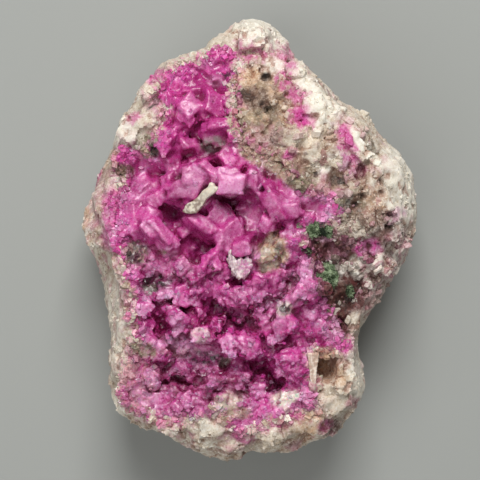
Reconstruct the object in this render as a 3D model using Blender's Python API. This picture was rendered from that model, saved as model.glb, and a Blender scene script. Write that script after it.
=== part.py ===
"""Cobaltoan calcite specimen, built as the real thing is put together.

A lump of pale matrix rock lies on its flat broken back. Its upper face holds a shallow hollow, lined by a
crust of pink calcite crystals that grew together. Malachite tufts, a pale splinter, a pale flake and a brown
blade sit in and on them. Metres, +Z up, +Y along the long side. The origin is the centre of the whole box
seen from above, on the plane of the flat back.
"""

import math
import random
from typing import NamedTuple

import bmesh
import bpy
from mathutils import Matrix, Vector, noise
from mathutils.geometry import delaunay_2d_cdt

MM = 0.001

# Driving dimensions, in millimetres. Every shape below is worked out from these.
CROWN_HEIGHT = 27.5
GAP = 0.35
# The flat back reaches this share of the outline, give or take the swing.
BASE_SHARE = 0.68
BASE_SWING = 0.12
# Rings of the wall under and over the widest one: the share of the way out or in, and of the way up.
LOWER_WALL = ((0.28, 0.12), (0.52, 0.28), (0.72, 0.48), (0.88, 0.72))
UPPER_WALL = ((0.16, 0.34), (0.45, 0.66), (0.76, 0.88), (1.0, 1.0))
# Bearings, in degrees to either side, that the outline is averaged over away from its widest ring.
SOFTENING = (-21, -14, -7, 0, 7, 14, 21)
LOWEST_LEDGE = 0.6
WALL_REACH = 0.97
FACE_RINGS = (0.91, 0.81, 0.70, 0.58, 0.46, 0.34, 0.20)
FACET_SEEDS = (7.3, 19.1, 31.7)
CRUST_THICKNESS = 1.5
HOLLOW_DEPTH = 4.6
HOLLOW_EDGE_DEPTH = 1.3
HOLLOW_SHOULDER = 5.0
EDGE_RISE = 0.45
GRID_STEP = 3.1
FILL_CRYSTALS = 48
SPOTS_TRIED = 9
RHOMB_ANGLE = math.radians(80)
# Cutters that open upwards end at this height, above everything.
SKY = 60.0
SEED = 11

# The widest outline seen from above, anticlockwise from the right, with its chips and corners.
OUTLINE = (
    (26.6, 3.2), (26.6, 6.1), (26.1, 10.6), (24.6, 13.2), (22.8, 15.2), (20.8, 17.4), (19.3, 19.5),
    (17.4, 20.5), (15.3, 21.8), (13.4, 23.0), (12.0, 24.8), (10.1, 26.4), (8.2, 28.4), (6.6, 30.2),
    (6.0, 31.8), (4.7, 33.2), (3.0, 34.6), (1.4, 35.3), (-0.8, 35.2), (-2.4, 34.4), (-3.6, 33.2),
    (-5.8, 32.2), (-7.1, 30.8), (-9.3, 30.0), (-11.2, 29.2), (-12.8, 28.9), (-14.2, 27.8),
    (-15.0, 26.2), (-17.0, 24.6), (-18.0, 22.8), (-19.3, 20.8), (-20.6, 18.4), (-21.4, 15.6),
    (-22.4, 13.2), (-23.8, 10.4), (-24.8, 7.6), (-26.1, 5.2), (-26.6, 2.7), (-26.0, 0.2),
    (-24.9, -2.0), (-23.8, -4.6), (-22.9, -8.0), (-22.3, -11.4), (-21.9, -15.4), (-21.9, -19.2),
    (-22.1, -22.2), (-21.5, -24.6), (-20.4, -26.8), (-18.2, -28.2), (-15.8, -29.2), (-13.2, -29.9),
    (-10.8, -31.2), (-8.4, -32.4), (-5.8, -33.3), (-3.2, -34.0), (-1.2, -33.6), (0.6, -32.3),
    (2.8, -32.6), (5.0, -32.6), (7.4, -32.0), (9.6, -30.9), (12.2, -30.4), (14.2, -28.9),
    (15.8, -27.0), (17.4, -24.8), (18.3, -22.4), (18.1, -20.6), (17.3, -18.2), (17.0, -15.9),
    (17.4, -13.6), (18.4, -11.7), (19.8, -10.0), (21.3, -8.5), (22.4, -6.2), (23.8, -4.0),
    (25.2, -2.0), (26.1, 0.4),
)


class Flank(NamedTuple):
    """How the side wall stands at one bearing: degrees anticlockwise from +X, lengths in millimetres."""

    bearing: float
    rim_share: float
    widest_height: float
    rim_height: float


FLANKS = (
    Flank(0, 0.78, 12, 23.5),
    Flank(30, 0.79, 12, 24.0),
    Flank(48, 0.88, 13, 24.5),
    Flank(64, 0.90, 14, 24.0),
    Flank(86, 0.83, 12, 22.5),
    Flank(105, 0.86, 12, 22.5),
    Flank(120, 0.90, 12, 23.0),
    Flank(135, 0.88, 12, 22.5),
    Flank(150, 0.88, 11, 22.5),
    Flank(166, 0.86, 10, 23.0),
    Flank(180, 0.81, 9, 23.5),
    Flank(195, 0.84, 9, 23.5),
    Flank(209, 0.83, 9, 23.0),
    Flank(224, 0.82, 11, 23.0),
    Flank(234, 0.90, 15, 22.5),
    Flank(250, 0.91, 18, 22.5),
    Flank(270, 0.91, 18, 22.0),
    Flank(286, 0.90, 18, 22.0),
    Flank(300, 0.88, 17, 22.0),
    Flank(311, 0.89, 15, 22.5),
    Flank(320, 0.90, 15, 23.0),
    Flank(338, 0.86, 14, 23.5),
    Flank(350, 0.83, 13, 23.5),
)

# Broad swells and dips of the upper face: x, y, radius and rise, in millimetres.
SWELLS = (
    (10.0, 17.0, 9.0, 1.6),
    (3.0, 23.0, 7.0, 1.0),
    (14.5, 6.0, 6.0, 1.2),
    (-17.5, 16.0, 4.5, 1.3),
    (-18.0, -4.5, 3.5, 1.0),
    (3.8, -1.6, 3.6, 2.4),
    (14.5, -21.5, 5.0, 1.2),
    (3.0, -28.0, 4.0, 0.8),
    (-9.5, -27.0, 4.5, 0.6),
    (2.4, 25.3, 1.6, -1.4),
    (-18.6, 10.6, 2.0, -1.6),
    (12.5, -6.0, 3.0, -1.5),
)

# The hollow's edge seen from above, anticlockwise from its top.
HOLLOW_EDGE = (
    (-3.8, 28.8), (-7.4, 28.2), (-10.8, 26.8), (-13.4, 24.0), (-13.6, 22.0), (-12.4, 19.8), (-14.3, 16.2),
    (-14.9, 12.8), (-17.2, 13.6), (-19.4, 13.9), (-20.2, 11.6), (-18.4, 9.8), (-19.8, 6.4), (-19.9, 3.0),
    (-19.3, 0.2), (-18.5, -3.8), (-17.6, -7.4), (-17.4, -11.4), (-17.0, -15.4), (-18.6, -19.4),
    (-19.6, -23.0),
    (-17.6, -25.2), (-13.4, -27.0), (-8.4, -26.6), (-4.2, -25.2), (-2.0, -28.4), (2.6, -27.4), (7.2, -25.8),
    (10.8, -25.6), (9.0, -22.2), (8.4, -18.2), (12.2, -16.6), (14.8, -15.8), (13.4, -13.2), (12.0, -10.4),
    (10.8, -6.6), (10.4, -3.2), (7.6, -0.6), (8.4, 2.0), (12.4, 2.8), (13.8, 4.5), (12.2, 6.8), (7.6, 8.4),
    (5.2, 11.4), (2.0, 12.9), (-0.9, 14.8), (-1.7, 18.0), (-2.2, 21.4), (-2.2, 24.8), (-1.8, 27.6),
)

# Deep places between the crystals: x, y, radius and extra depth, in millimetres.
PITS = (
    (-11.2, 4.2, 1.7, 2.4),
    (-7.2, 0.6, 1.8, 2.0),
    (-3.2, 6.0, 1.9, 2.2),
    (-14.2, 10.2, 1.6, 2.0),
    (-10.6, 13.4, 1.4, 1.8),
    (-7.6, 23.0, 1.3, 1.2),
    (2.8, 10.6, 1.5, 1.8),
    (-7.6, -1.9, 1.5, 1.8),
    (-13.3, -1.7, 1.2, 1.6),
    (-14.0, -5.6, 1.6, 1.6),
    (-9.9, -6.9, 1.5, 1.6),
    (-5.0, -9.8, 1.8, 2.2),
    (-1.2, -12.0, 2.2, 2.4),
    (-13.4, -12.6, 1.7, 2.2),
    (-11.2, -20.6, 2.1, 2.4),
    (-7.4, -17.4, 1.5, 1.6),
    (-3.4, -18.2, 1.3, 1.4),
    (1.8, -19.6, 1.6, 2.0),
    (4.0, -21.4, 1.5, 2.0),
    (1.0, 0.2, 1.4, 1.6),
    (5.8, -14.8, 1.4, 1.6),
)


class Crystal(NamedTuple):
    """One calcite rhomb, in millimetres and degrees.

    x and y place the middle of its upper face, and rise is how far its top stands over the floor under it.
    Long and wide are the edges of that face. Lean tips it towards a bearing, after a turn about the vertical.
    """

    x: float
    y: float
    rise: float
    long: float
    wide: float
    lean: float
    towards: float
    turn: float


MAIN_CRYSTALS = (
    Crystal(-8.9, 20.6, 6.2, 3.2, 3.0, 16, 90, 48),
    Crystal(-7.8, 23.9, 5.8, 4.4, 2.6, 42, 90, 4),
    Crystal(-5.0, 20.9, 5.6, 3.4, 3.0, 24, 20, 82),
    Crystal(-11.7, 20.4, 5.2, 2.7, 2.4, 34, 190, 40),
    Crystal(-4.2, 17.9, 6.0, 3.8, 1.9, 36, 90, 5),
    Crystal(-9.9, 18.2, 5.0, 2.8, 2.0, 32, 100, 10),
    Crystal(-5.7, 16.0, 4.8, 3.0, 2.5, 22, 260, 22),
    Crystal(-13.2, 15.4, 5.6, 2.9, 2.8, 28, 140, 48),
    Crystal(-9.0, 14.9, 4.4, 2.6, 1.6, 30, 60, 16),
    Crystal(-11.6, 13.4, 5.0, 2.6, 2.3, 30, 120, 62),
    Crystal(-12.8, 11.8, 4.6, 2.3, 2.0, 34, 200, 72),
    Crystal(-2.9, 13.1, 5.4, 3.3, 2.8, 26, 60, 52),
    Crystal(-5.7, 10.8, 5.6, 3.7, 1.3, 30, 45, -44),
    Crystal(-8.3, 10.2, 5.6, 3.6, 2.8, 12, 90, 12),
    Crystal(-16.4, 9.2, 5.2, 2.8, 2.7, 34, 135, 46),
    Crystal(-12.4, 8.2, 5.0, 4.0, 1.9, 32, 180, -74),
    Crystal(-9.5, 7.7, 5.9, 4.0, 2.6, 12, 200, -8),
    Crystal(-2.7, 8.6, 7.4, 3.9, 3.1, 9, 100, 1),
    Crystal(-17.2, 7.0, 4.6, 3.6, 2.1, 32, 100, 22),
    Crystal(-18.4, 4.6, 4.2, 3.0, 2.8, 36, 170, 78),
    Crystal(-18.3, 2.3, 4.4, 2.9, 2.1, 22, 120, 26),
    Crystal(-16.6, 1.2, 4.8, 2.3, 2.0, 30, 290, 26),
    Crystal(-14.7, 3.9, 4.8, 2.8, 2.2, 24, 60, 70),
    Crystal(-12.8, 1.8, 5.8, 4.9, 2.0, 38, 42, -48),
    Crystal(-6.8, 2.9, 5.8, 4.2, 2.1, 30, 55, -38),
    Crystal(-4.4, 4.1, 4.8, 2.7, 2.4, 30, 320, -50),
    Crystal(-9.7, 1.8, 2.8, 2.0, 1.9, 25, 90, 40),
    Crystal(-7.2, -3.6, 5.4, 5.4, 1.3, 36, 140, 54),
    Crystal(-5.0, -3.0, 4.8, 2.8, 1.8, 32, 10, -60),
    Crystal(-1.2, -1.2, 4.9, 2.7, 2.0, 22, 250, 10),
    Crystal(-2.4, 1.5, 4.4, 3.4, 2.7, 28, 330, 42),
    Crystal(2.1, 2.4, 4.8, 2.2, 2.0, 38, 200, 62),
    Crystal(3.5, 5.1, 5.6, 4.3, 2.3, 26, 200, -62),
    Crystal(6.1, 4.5, 5.2, 2.5, 2.3, 12, 250, 6),
    Crystal(9.0, 5.0, 3.6, 3.6, 2.9, 34, 275, -14),
    Crystal(11.6, 4.4, 3.8, 2.1, 1.9, 24, 100, 30),
    Crystal(0.3, 9.3, 5.4, 2.6, 1.9, 28, 180, 84),
    Crystal(2.7, 12.0, 3.8, 3.4, 1.3, 36, 90, -8),
    Crystal(8.7, -3.5, 5.0, 3.3, 1.9, 16, 160, 80),
    Crystal(7.2, -7.3, 6.2, 5.4, 2.0, 34, 135, 38),
    Crystal(8.9, -8.6, 5.2, 3.4, 2.0, 24, 300, 60),
    Crystal(5.1, -12.6, 5.6, 3.6, 2.6, 18, 180, 20),
    Crystal(3.8, -14.8, 5.0, 2.5, 1.6, 30, 240, 12),
    Crystal(10.3, -12.8, 4.6, 3.0, 2.0, 24, 80, 8),
    Crystal(13.2, -15.2, 3.6, 1.9, 1.7, 16, 20, 20),
    Crystal(3.2, -6.6, 4.6, 4.8, 3.3, 30, 290, 16),
    Crystal(-1.0, -8.1, 5.0, 2.9, 2.5, 20, 80, 82),
    Crystal(6.0, -16.9, 4.6, 2.8, 2.0, 22, 100, 12),
    Crystal(7.6, -19.2, 4.8, 2.6, 1.4, 28, 20, 84),
    Crystal(5.3, -19.3, 4.6, 2.4, 1.7, 24, 220, 14),
    Crystal(-3.2, -14.9, 5.0, 2.8, 2.3, 20, 130, 30),
    Crystal(-0.8, -14.9, 5.4, 3.0, 1.8, 28, 60, 60),
    Crystal(0.9, -16.4, 5.0, 2.4, 1.9, 22, 320, 18),
    Crystal(-5.3, -20.9, 5.4, 2.0, 1.9, 8, 90, 4),
    Crystal(-2.0, -21.5, 4.4, 3.4, 2.5, 28, 285, 2),
    Crystal(1.3, -22.9, 3.9, 2.6, 2.2, 26, 300, 8),
    Crystal(-15.7, -14.3, 4.8, 3.2, 2.0, 26, 100, -20),
    Crystal(-15.5, -12.4, 5.0, 2.2, 1.4, 30, 100, 15),
    Crystal(-15.6, -9.9, 4.6, 2.6, 2.2, 22, 60, 40),
    Crystal(-11.0, -13.4, 4.8, 1.7, 1.6, 12, 90, 50),
    Crystal(-10.0, -11.1, 5.2, 3.2, 1.4, 30, 40, -45),
    Crystal(-8.9, -8.6, 4.4, 4.5, 2.9, 32, 280, 4),
    Crystal(-4.0, -8.0, 4.6, 2.6, 2.1, 24, 200, 50),
    Crystal(-12.6, -6.3, 4.6, 2.4, 1.9, 18, 80, 28),
    Crystal(-10.2, -3.4, 5.0, 2.5, 2.2, 22, 120, 40),
    Crystal(-7.4, -13.6, 5.2, 2.6, 2.0, 20, 110, 14),
    Crystal(-15.0, -20.0, 4.4, 2.4, 2.0, 24, 140, 30),
    Crystal(-13.6, -24.0, 3.6, 2.6, 2.0, 22, 250, 20),
    Crystal(-9.2, -23.8, 4.2, 2.4, 2.1, 24, 60, 50),
    Crystal(-4.4, -23.6, 3.8, 2.0, 1.8, 20, 100, 10),
    Crystal(-14.6, 5.9, 4.6, 2.6, 2.2, 30, 230, 30),
    Crystal(-10.4, 25.2, 4.2, 2.6, 2.2, 28, 130, 30),
    Crystal(-5.6, 26.6, 4.0, 2.6, 2.3, 26, 100, 60),
)


# Blocky grains and broken ledges of the matrix that stand clear of its face. The rise is over the face.
BLOCKS = (
    Crystal(9.5, 20.7, 1.7, 3.4, 2.6, 14, 60, 20),
    Crystal(12.0, 19.4, 1.5, 3.6, 2.8, 18, 20, -25),
    Crystal(11.0, 17.0, 1.3, 2.8, 2.4, 22, 300, 50),
    Crystal(6.9, 26.0, 1.5, 2.6, 2.3, 20, 80, 10),
    Crystal(4.3, 27.6, 1.4, 2.6, 2.2, 18, 120, 50),
    Crystal(0.4, 30.8, 1.6, 3.8, 2.8, 16, 90, 15),
    Crystal(2.0, 21.2, 1.6, 3.4, 2.7, 18, 140, 30),
    Crystal(5.6, 22.6, 1.5, 3.2, 2.6, 20, 20, -10),
    Crystal(1.6, 17.6, 1.3, 2.8, 2.2, 22, 200, 60),
    Crystal(5.4, 15.4, 1.6, 3.8, 2.3, 20, 250, -30),
    Crystal(8.6, 12.6, 1.5, 3.4, 2.4, 22, 230, 20),
    Crystal(13.0, 12.2, 1.6, 3.8, 2.8, 18, 320, -40),
    Crystal(16.4, 14.2, 1.5, 4.2, 2.2, 24, 45, -48),
    Crystal(16.0, 8.6, 1.4, 3.4, 2.8, 18, 60, 12),
    Crystal(18.9, 10.6, 1.3, 3.0, 2.4, 22, 30, 30),
    Crystal(20.3, 6.4, 1.4, 3.8, 2.6, 20, 10, -66),
    Crystal(17.0, 2.2, 1.6, 3.8, 2.8, 14, 200, 25),
    Crystal(21.0, 1.6, 1.5, 3.6, 3.0, 16, 340, 5),
    Crystal(16.8, -3.4, 1.4, 2.9, 2.5, 20, 280, 35),
    Crystal(20.6, -3.6, 1.2, 3.2, 2.4, 24, 330, -30),
    Crystal(16.0, -12.2, 1.4, 2.6, 2.8, 20, 10, 10),
    Crystal(14.4, -20.9, 1.5, 4.0, 3.0, 18, 30, 70),
    Crystal(13.4, -24.6, 1.4, 4.2, 2.8, 20, 300, 30),
    Crystal(9.0, -27.8, 1.3, 3.6, 2.6, 22, 280, -15),
    Crystal(3.6, -29.8, 1.2, 3.4, 2.4, 24, 270, 20),
    Crystal(-5.6, -28.4, 1.3, 3.8, 2.6, 20, 250, 5),
    Crystal(-12.4, -28.2, 1.1, 3.2, 2.2, 24, 240, -25),
    Crystal(-15.0, 23.2, 1.3, 3.2, 2.3, 22, 130, 50),
    Crystal(-18.0, 17.2, 1.6, 3.6, 2.9, 20, 160, 70),
    Crystal(-15.4, 18.6, 1.4, 2.8, 2.2, 24, 110, 20),
)


class Lump(NamedTuple):
    """One rounded grain cluster of a malachite tuft: its middle, its rise over the floor and its radius."""

    x: float
    y: float
    rise: float
    radius: float


TUFTS = {
    "malachite_tuft_upper": (
        Lump(9.9, 1.9, 1.5, 0.95),
        Lump(11.4, 1.7, 1.3, 0.8),
        Lump(10.7, 1.5, 1.2, 0.75),
    ),
    "malachite_tuft_lower": (
        Lump(11.4, -5.6, 1.8, 1.2),
        Lump(11.9, -4.3, 1.6, 1.05),
        Lump(12.2, -5.4, 1.6, 1.0),
        Lump(10.9, -6.2, 1.2, 0.8),
    ),
    "malachite_tuft_small": (Lump(14.9, -7.3, 0.9, 0.62), Lump(15.1, -7.9, 0.7, 0.5)),
}

# Outlines of the loose thin pieces seen from above, in millimetres, anticlockwise.
SPLINTER = (
    (-9.9, 4.5), (-9.5, 4.3), (-8.9, 4.2), (-7.8, 4.3), (-7.3, 4.8), (-6.6, 5.6), (-6.1, 6.5), (-5.4, 7.0),
    (-4.4, 7.7), (-4.3, 8.2), (-4.8, 8.4), (-5.1, 8.8), (-5.5, 8.9), (-5.8, 8.2), (-6.7, 7.6), (-7.3, 6.8),
    (-8.2, 6.1), (-9.2, 5.6),
)
FLAKE = (
    (-1.7, -5.6), (-0.9, -5.5), (-0.1, -4.6), (0.3, -3.4), (0.0, -2.6), (-0.5, -2.2), (-0.9, -2.8),
    (-1.5, -2.5), (-1.9, -2.9), (-2.5, -2.5), (-3.0, -1.4), (-3.2, -2.7), (-3.0, -3.9), (-2.5, -4.8),
)
BLADE = ((9.3, -21.2), (9.9, -21.2), (10.1, -19.0), (10.4, -16.4), (8.7, -16.4), (8.9, -18.2), (9.1, -19.6))
BLADE_POCKET = ((8.5, -21.0), (12.9, -20.8), (13.3, -16.6), (8.4, -16.0))
BLADE_POCKET_DEPTH = 4.2


class Chip(NamedTuple):
    """A loose thin piece: its outline, thickness, tilt about X and Y in degrees, height and mineral."""

    outline: tuple
    thickness: float
    tilt: tuple
    height: float
    mineral: str


CHIPS = {
    "pale_splinter": Chip(SPLINTER, 0.8, (6, -20), 27.8, "pale_calcite"),
    "pale_flake": Chip(FLAKE, 1.3, (-8, 10), 25.2, "pale_calcite"),
    "brown_blade": Chip(BLADE, 1.4, (10, 4), 24.3, "brown_calcite"),
}


class Mineral(NamedTuple):
    """The look of one mineral: linear colour and roughness."""

    colour: tuple
    roughness: float


MINERALS = {
    "matrix": Mineral((0.62, 0.56, 0.47), 0.75),
    "pink_calcite": Mineral((0.60, 0.06, 0.34), 0.35),
    "malachite": Mineral((0.06, 0.20, 0.08), 0.65),
    "pale_calcite": Mineral((0.72, 0.68, 0.58), 0.45),
    "brown_calcite": Mineral((0.45, 0.33, 0.24), 0.4),
}


def clear_scene():
    for obj in list(bpy.data.objects):
        bpy.data.objects.remove(obj)


def finish_of(mineral, node):
    """A plain material of one mineral for one node."""
    made = bpy.data.materials.new(f"{mineral} of {node}")
    made.use_nodes = True
    shader = made.node_tree.nodes["Principled BSDF"]
    shader.inputs["Base Color"].default_value = (*MINERALS[mineral].colour, 1.0)
    shader.inputs["Roughness"].default_value = MINERALS[mineral].roughness
    shader.inputs["Metallic"].default_value = 0.0
    return made


def object_from(bm, name, mineral=None):
    """The bmesh, in millimetres, as an object in metres. It is a hidden cutter where no mineral is given."""
    bmesh.ops.recalc_face_normals(bm, faces=bm.faces)
    bmesh.ops.scale(bm, vec=(MM, MM, MM), verts=bm.verts)
    mesh = bpy.data.meshes.new(name)
    bm.to_mesh(mesh)
    bm.free()
    obj = bpy.data.objects.new(name, mesh)
    bpy.context.scene.collection.objects.link(obj)
    if mineral is None:
        obj.hide_render = True
        obj.display_type = "WIRE"
    else:
        mesh.materials.append(finish_of(mineral, name))
    return obj


def add_boolean(obj, operation, other):
    """A Boolean against one object, or against every object of a collection."""
    modifier = obj.modifiers.new(f"{operation.lower()} {other.name}", "BOOLEAN")
    modifier.operation = operation
    modifier.solver = "EXACT"
    if isinstance(other, bpy.types.Collection):
        modifier.operand_type = "COLLECTION"
        modifier.collection = other
    else:
        modifier.object = other


def lerp(a, b, share):
    return a + (b - a) * share


def smooth_step(share):
    share = min(1.0, max(0.0, share))
    return share * share * (3.0 - 2.0 * share)


def flank_at(bearing):
    """The side wall's values at a bearing in degrees, eased between the listed ones."""
    bearing %= 360.0
    for i, low in enumerate(FLANKS):
        high = FLANKS[(i + 1) % len(FLANKS)]
        end = high.bearing if high.bearing > low.bearing else high.bearing + 360.0
        if low.bearing <= bearing < end:
            share = smooth_step((bearing - low.bearing) / (end - low.bearing))
            return [lerp(low[k], high[k], share) for k in range(1, 4)]
    return list(FLANKS[0][1:])


def outline_reach(bearing):
    """How far the outline lies from the origin along a bearing in degrees."""
    ray = Vector((math.cos(math.radians(bearing)), math.sin(math.radians(bearing))))
    reach = 0.0
    for i, start in enumerate(OUTLINE):
        a, b = Vector(start), Vector(OUTLINE[(i + 1) % len(OUTLINE)])
        side = b - a
        cross = ray.x * side.y - ray.y * side.x
        if abs(cross) < 1e-9:
            continue
        along = (a.x * side.y - a.y * side.x) / cross
        share = (a.x * ray.y - a.y * ray.x) / cross
        if along > 0 and -1e-6 <= share <= 1 + 1e-6:
            reach = max(reach, along)
    return reach


def soft_reach(bearing):
    """The outline's reach averaged over nearby bearings, for the wall away from the widest ring."""
    return sum(outline_reach(bearing + turn) for turn in SOFTENING) / len(SOFTENING)


def broken(x, y, z, size, amount):
    """An offset like a broken surface: flat facets about as wide as the size, each with a tilt of its own."""
    spot = Vector((x, y, z)) / size
    home = noise.voronoi(spot)[1][0]
    tilt = Vector([noise.noise(home * 3.7 + Vector((step, -step, 2 * step))) for step in FACET_SEEDS])
    return amount * (1.5 * tilt.dot(spot - home) + 1.6 * noise.noise(home * 5.3))


def lumpy(x, y, z, size, amount):
    """A soft lumpy offset, fixed in the stone."""
    return amount * noise.noise(Vector((x, y, z)) / size)


def face_height(x, y):
    """The height of the matrix's upper face, before the hollow is cut."""
    bearing = math.degrees(math.atan2(y, x))
    rim_share, _, rim_height = flank_at(bearing)
    share = min(1.0, math.hypot(x, y) / (outline_reach(bearing) * rim_share))
    height = lerp(CROWN_HEIGHT, rim_height, share**2.4)
    for cx, cy, radius, rise in SWELLS:
        height += rise * math.exp(-((x - cx) ** 2 + (y - cy) ** 2) / radius**2)
    return height + lumpy(x, y, 3.0, 9.0, 1.0) + broken(x, y, 3.0, 5.2, 0.75)


def edge_distance(x, y, outline):
    """How far inside an outline a point lies, or minus how far outside."""
    point = Vector((x, y))
    nearest = 1e9
    inside = False
    for i, start in enumerate(outline):
        a, b = Vector(start), Vector(outline[(i + 1) % len(outline)])
        side = b - a
        share = min(1.0, max(0.0, (point - a).dot(side) / side.length_squared))
        nearest = min(nearest, (a + side * share - point).length)
        if (a.y > y) != (b.y > y) and x < a.x + side.x * (y - a.y) / side.y:
            inside = not inside
    return nearest if inside else -nearest


def floor_height(x, y):
    """The height of the hollow's floor: shallow at its edge, with deeper pits."""
    inward = max(0.0, edge_distance(x, y, HOLLOW_EDGE))
    depth = lerp(HOLLOW_EDGE_DEPTH, HOLLOW_DEPTH, smooth_step(inward / HOLLOW_SHOULDER))
    for cx, cy, radius, extra in PITS:
        depth += extra * math.exp(-((x - cx) ** 2 + (y - cy) ** 2) / radius**2)
    return face_height(x, y) - depth


def wall_levels(bearing):
    """The rings of the lump at one bearing, from the flat back up to the rim: reach and height of each."""
    rim_share, widest, rim_height = flank_at(bearing)
    sharp, soft = outline_reach(bearing), soft_reach(bearing)
    base = soft * (BASE_SHARE + lumpy(bearing, 0.0, 0.0, 19.0, BASE_SWING))
    levels = [(0.5 * base, 0.0), (base, 0.0)]
    for out_share, up_share in LOWER_WALL:
        levels.append((lerp(base, lerp(soft, sharp, out_share), out_share), up_share * widest))
    levels.append((sharp, widest))
    for in_share, up_share in UPPER_WALL:
        reach = lerp(sharp, soft, 0.5 * in_share) * lerp(1.0, rim_share, in_share)
        levels.append((reach, lerp(widest, rim_height, up_share)))
    return levels


def keep_within_outline(vert):
    """Pull a point of the wall back where it stands out past the widest outline or below the lowest ledge."""
    x, y, z = vert.co
    allowed = WALL_REACH * outline_reach(math.degrees(math.atan2(y, x)))
    share = min(1.0, allowed / math.hypot(x, y))
    vert.co = (x * share, y * share, max(z, LOWEST_LEDGE))


def make_rock():
    """The matrix before anything is cut from it: rings of points from the flat back, round the sides, to the
    middle of the upper face."""
    bm = bmesh.new()
    bearings = [math.degrees(math.atan2(y, x)) for x, y in OUTLINE]
    spokes = [wall_levels(bearing) for bearing in bearings]
    loops = []
    for ring in range(len(spokes[0])):
        loop = []
        for bearing, levels in zip(bearings, spokes):
            reach, height = levels[ring]
            angle = math.radians(bearing)
            loop.append(bm.verts.new((reach * math.cos(angle), reach * math.sin(angle), height)))
        loops.append(loop)
    rim = loops[-1]
    for share in FACE_RINGS:
        loops.append([bm.verts.new((vert.co.x * share, vert.co.y * share, vert.co.z)) for vert in rim])
    for low, high in zip(loops, loops[1:]):
        for i, vert in enumerate(low):
            j = (i + 1) % len(low)
            bm.faces.new((vert, low[j], high[j], high[i]))
    for loop, height in ((loops[0], 0.0), (loops[-1], face_height(0.0, 0.0))):
        pole = bm.verts.new((0.0, 0.0, height))
        for i, vert in enumerate(loop):
            bm.faces.new((vert, loop[(i + 1) % len(loop)], pole))
    bmesh.ops.recalc_face_normals(bm, faces=bm.faces)
    bm.normal_update()
    widest = len(spokes[0]) - 1 - len(UPPER_WALL)
    for ring, loop in enumerate(loops[2:], 2):
        for vert in loop:
            x, y, z = vert.co
            if ring >= len(spokes[0]) - 1:
                vert.co.z = face_height(x, y)
            elif ring != widest:
                vert.co += vert.normal * (broken(x, y, z, 5.5, 1.7) + lumpy(x, y, z, 3.4, 0.9))
                keep_within_outline(vert)
    return object_from(bm, "matrix", "matrix")


def offset_outline(outline, distance):
    """The outline moved outwards by a distance, each point along its corner's bisector."""
    moved = []
    for i, point in enumerate(outline):
        before = Vector(outline[i - 1])
        after = Vector(outline[(i + 1) % len(outline)])
        along = (after - before).normalized()
        outward = Vector((along.y, -along.x))
        moved.append(tuple(Vector(point) + outward * distance))
    return moved


def hollow_grid():
    """Points of the hollow seen from above, edge first, and the triangles between them."""
    chance = random.Random(SEED)
    points = [Vector(point) for point in HOLLOW_EDGE]
    rim = len(points)
    steps = int(60 / GRID_STEP)
    for i in range(-steps, steps):
        for j in range(-steps, steps):
            x = (i + 0.5 * (j % 2)) * GRID_STEP + chance.uniform(-0.25, 0.25)
            y = j * GRID_STEP * 0.87 + chance.uniform(-0.25, 0.25)
            if edge_distance(x, y, HOLLOW_EDGE) > 0.55 * GRID_STEP:
                points.append(Vector((x, y)))
    edges = [(i, (i + 1) % rim) for i in range(rim)]
    verts, _, faces, *_ = delaunay_2d_cdt(points, edges, [list(range(rim))], 1, 1e-6)
    return verts, faces, rim


def layer_solid(grid, outset, bottom_of, top_of, name, mineral=None):
    """A closed solid between two heights over the hollow's grid, its edge moved outwards by the outset."""
    points, faces, rim = grid
    moved = offset_outline([tuple(p) for p in points[:rim]], outset)
    places = [tuple(p) for p in moved] + [tuple(p) for p in points[rim:]]
    bm = bmesh.new()
    low = [bm.verts.new((x, y, bottom_of(p.x, p.y))) for (x, y), p in zip(places, points)]
    high = [bm.verts.new((x, y, top_of(p.x, p.y))) for (x, y), p in zip(places, points)]
    for face in faces:
        bm.faces.new([high[i] for i in face])
        bm.faces.new([low[i] for i in reversed(face)])
    for i in range(rim):
        j = (i + 1) % rim
        bm.faces.new((low[i], low[j], high[j], high[i]))
    return object_from(bm, name, mineral)


def rhomb(crystal, top_height):
    """A calcite rhomb as a bmesh, its edges at the cleavage angle and its highest corner at a height."""
    depth = 0.5 * (crystal.long + crystal.wide) + 1.6
    cross = math.cos(RHOMB_ANGLE)
    edge_a = Vector((1.0, 0.0, 0.0))
    edge_b = Vector((cross, math.sin(RHOMB_ANGLE), 0.0))
    edge_c = Vector((cross, (cross - cross**2) / math.sin(RHOMB_ANGLE), 0.0))
    edge_c.z = -math.sqrt(1.0 - edge_c.length_squared)
    basis = Matrix((edge_a * crystal.long, edge_b * crystal.wide, edge_c * depth)).transposed()
    towards = math.radians(crystal.towards)
    lean_axis = Vector((-math.sin(towards), math.cos(towards), 0.0))
    lean = Matrix.Rotation(math.radians(crystal.lean), 3, lean_axis)
    turn = Matrix.Rotation(math.radians(crystal.turn), 3, "Z")
    bm = bmesh.new()
    bmesh.ops.create_cube(bm, size=1.0)
    bmesh.ops.transform(bm, matrix=(lean @ turn @ basis).to_4x4(), verts=bm.verts)
    upper = sorted((v.co for v in bm.verts), key=lambda co: co.z)[4:]
    middle = sum(upper, Vector()) / len(upper)
    lift = top_height - upper[-1].z
    bmesh.ops.translate(bm, vec=(crystal.x - middle.x, crystal.y - middle.y, lift), verts=bm.verts)
    return bm


def rhomb_collection(name, crystals, top_of):
    """A hidden collection of rhombs, for one Boolean to join."""
    group = bpy.data.collections.new(name)
    for crystal in crystals:
        obj = object_from(rhomb(crystal, top_of(crystal)), name)
        bpy.context.scene.collection.objects.unlink(obj)
        group.objects.link(obj)
    bpy.context.scene.collection.children.link(group)
    return group


def crystal_top(crystal):
    """The height of a crystal's highest corner. Crystals near the hollow's edge rise less."""
    inward = edge_distance(crystal.x, crystal.y, HOLLOW_EDGE)
    rise = crystal.rise * lerp(EDGE_RISE, 1.0, smooth_step(inward / HOLLOW_SHOULDER))
    return floor_height(crystal.x, crystal.y) + rise


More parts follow.
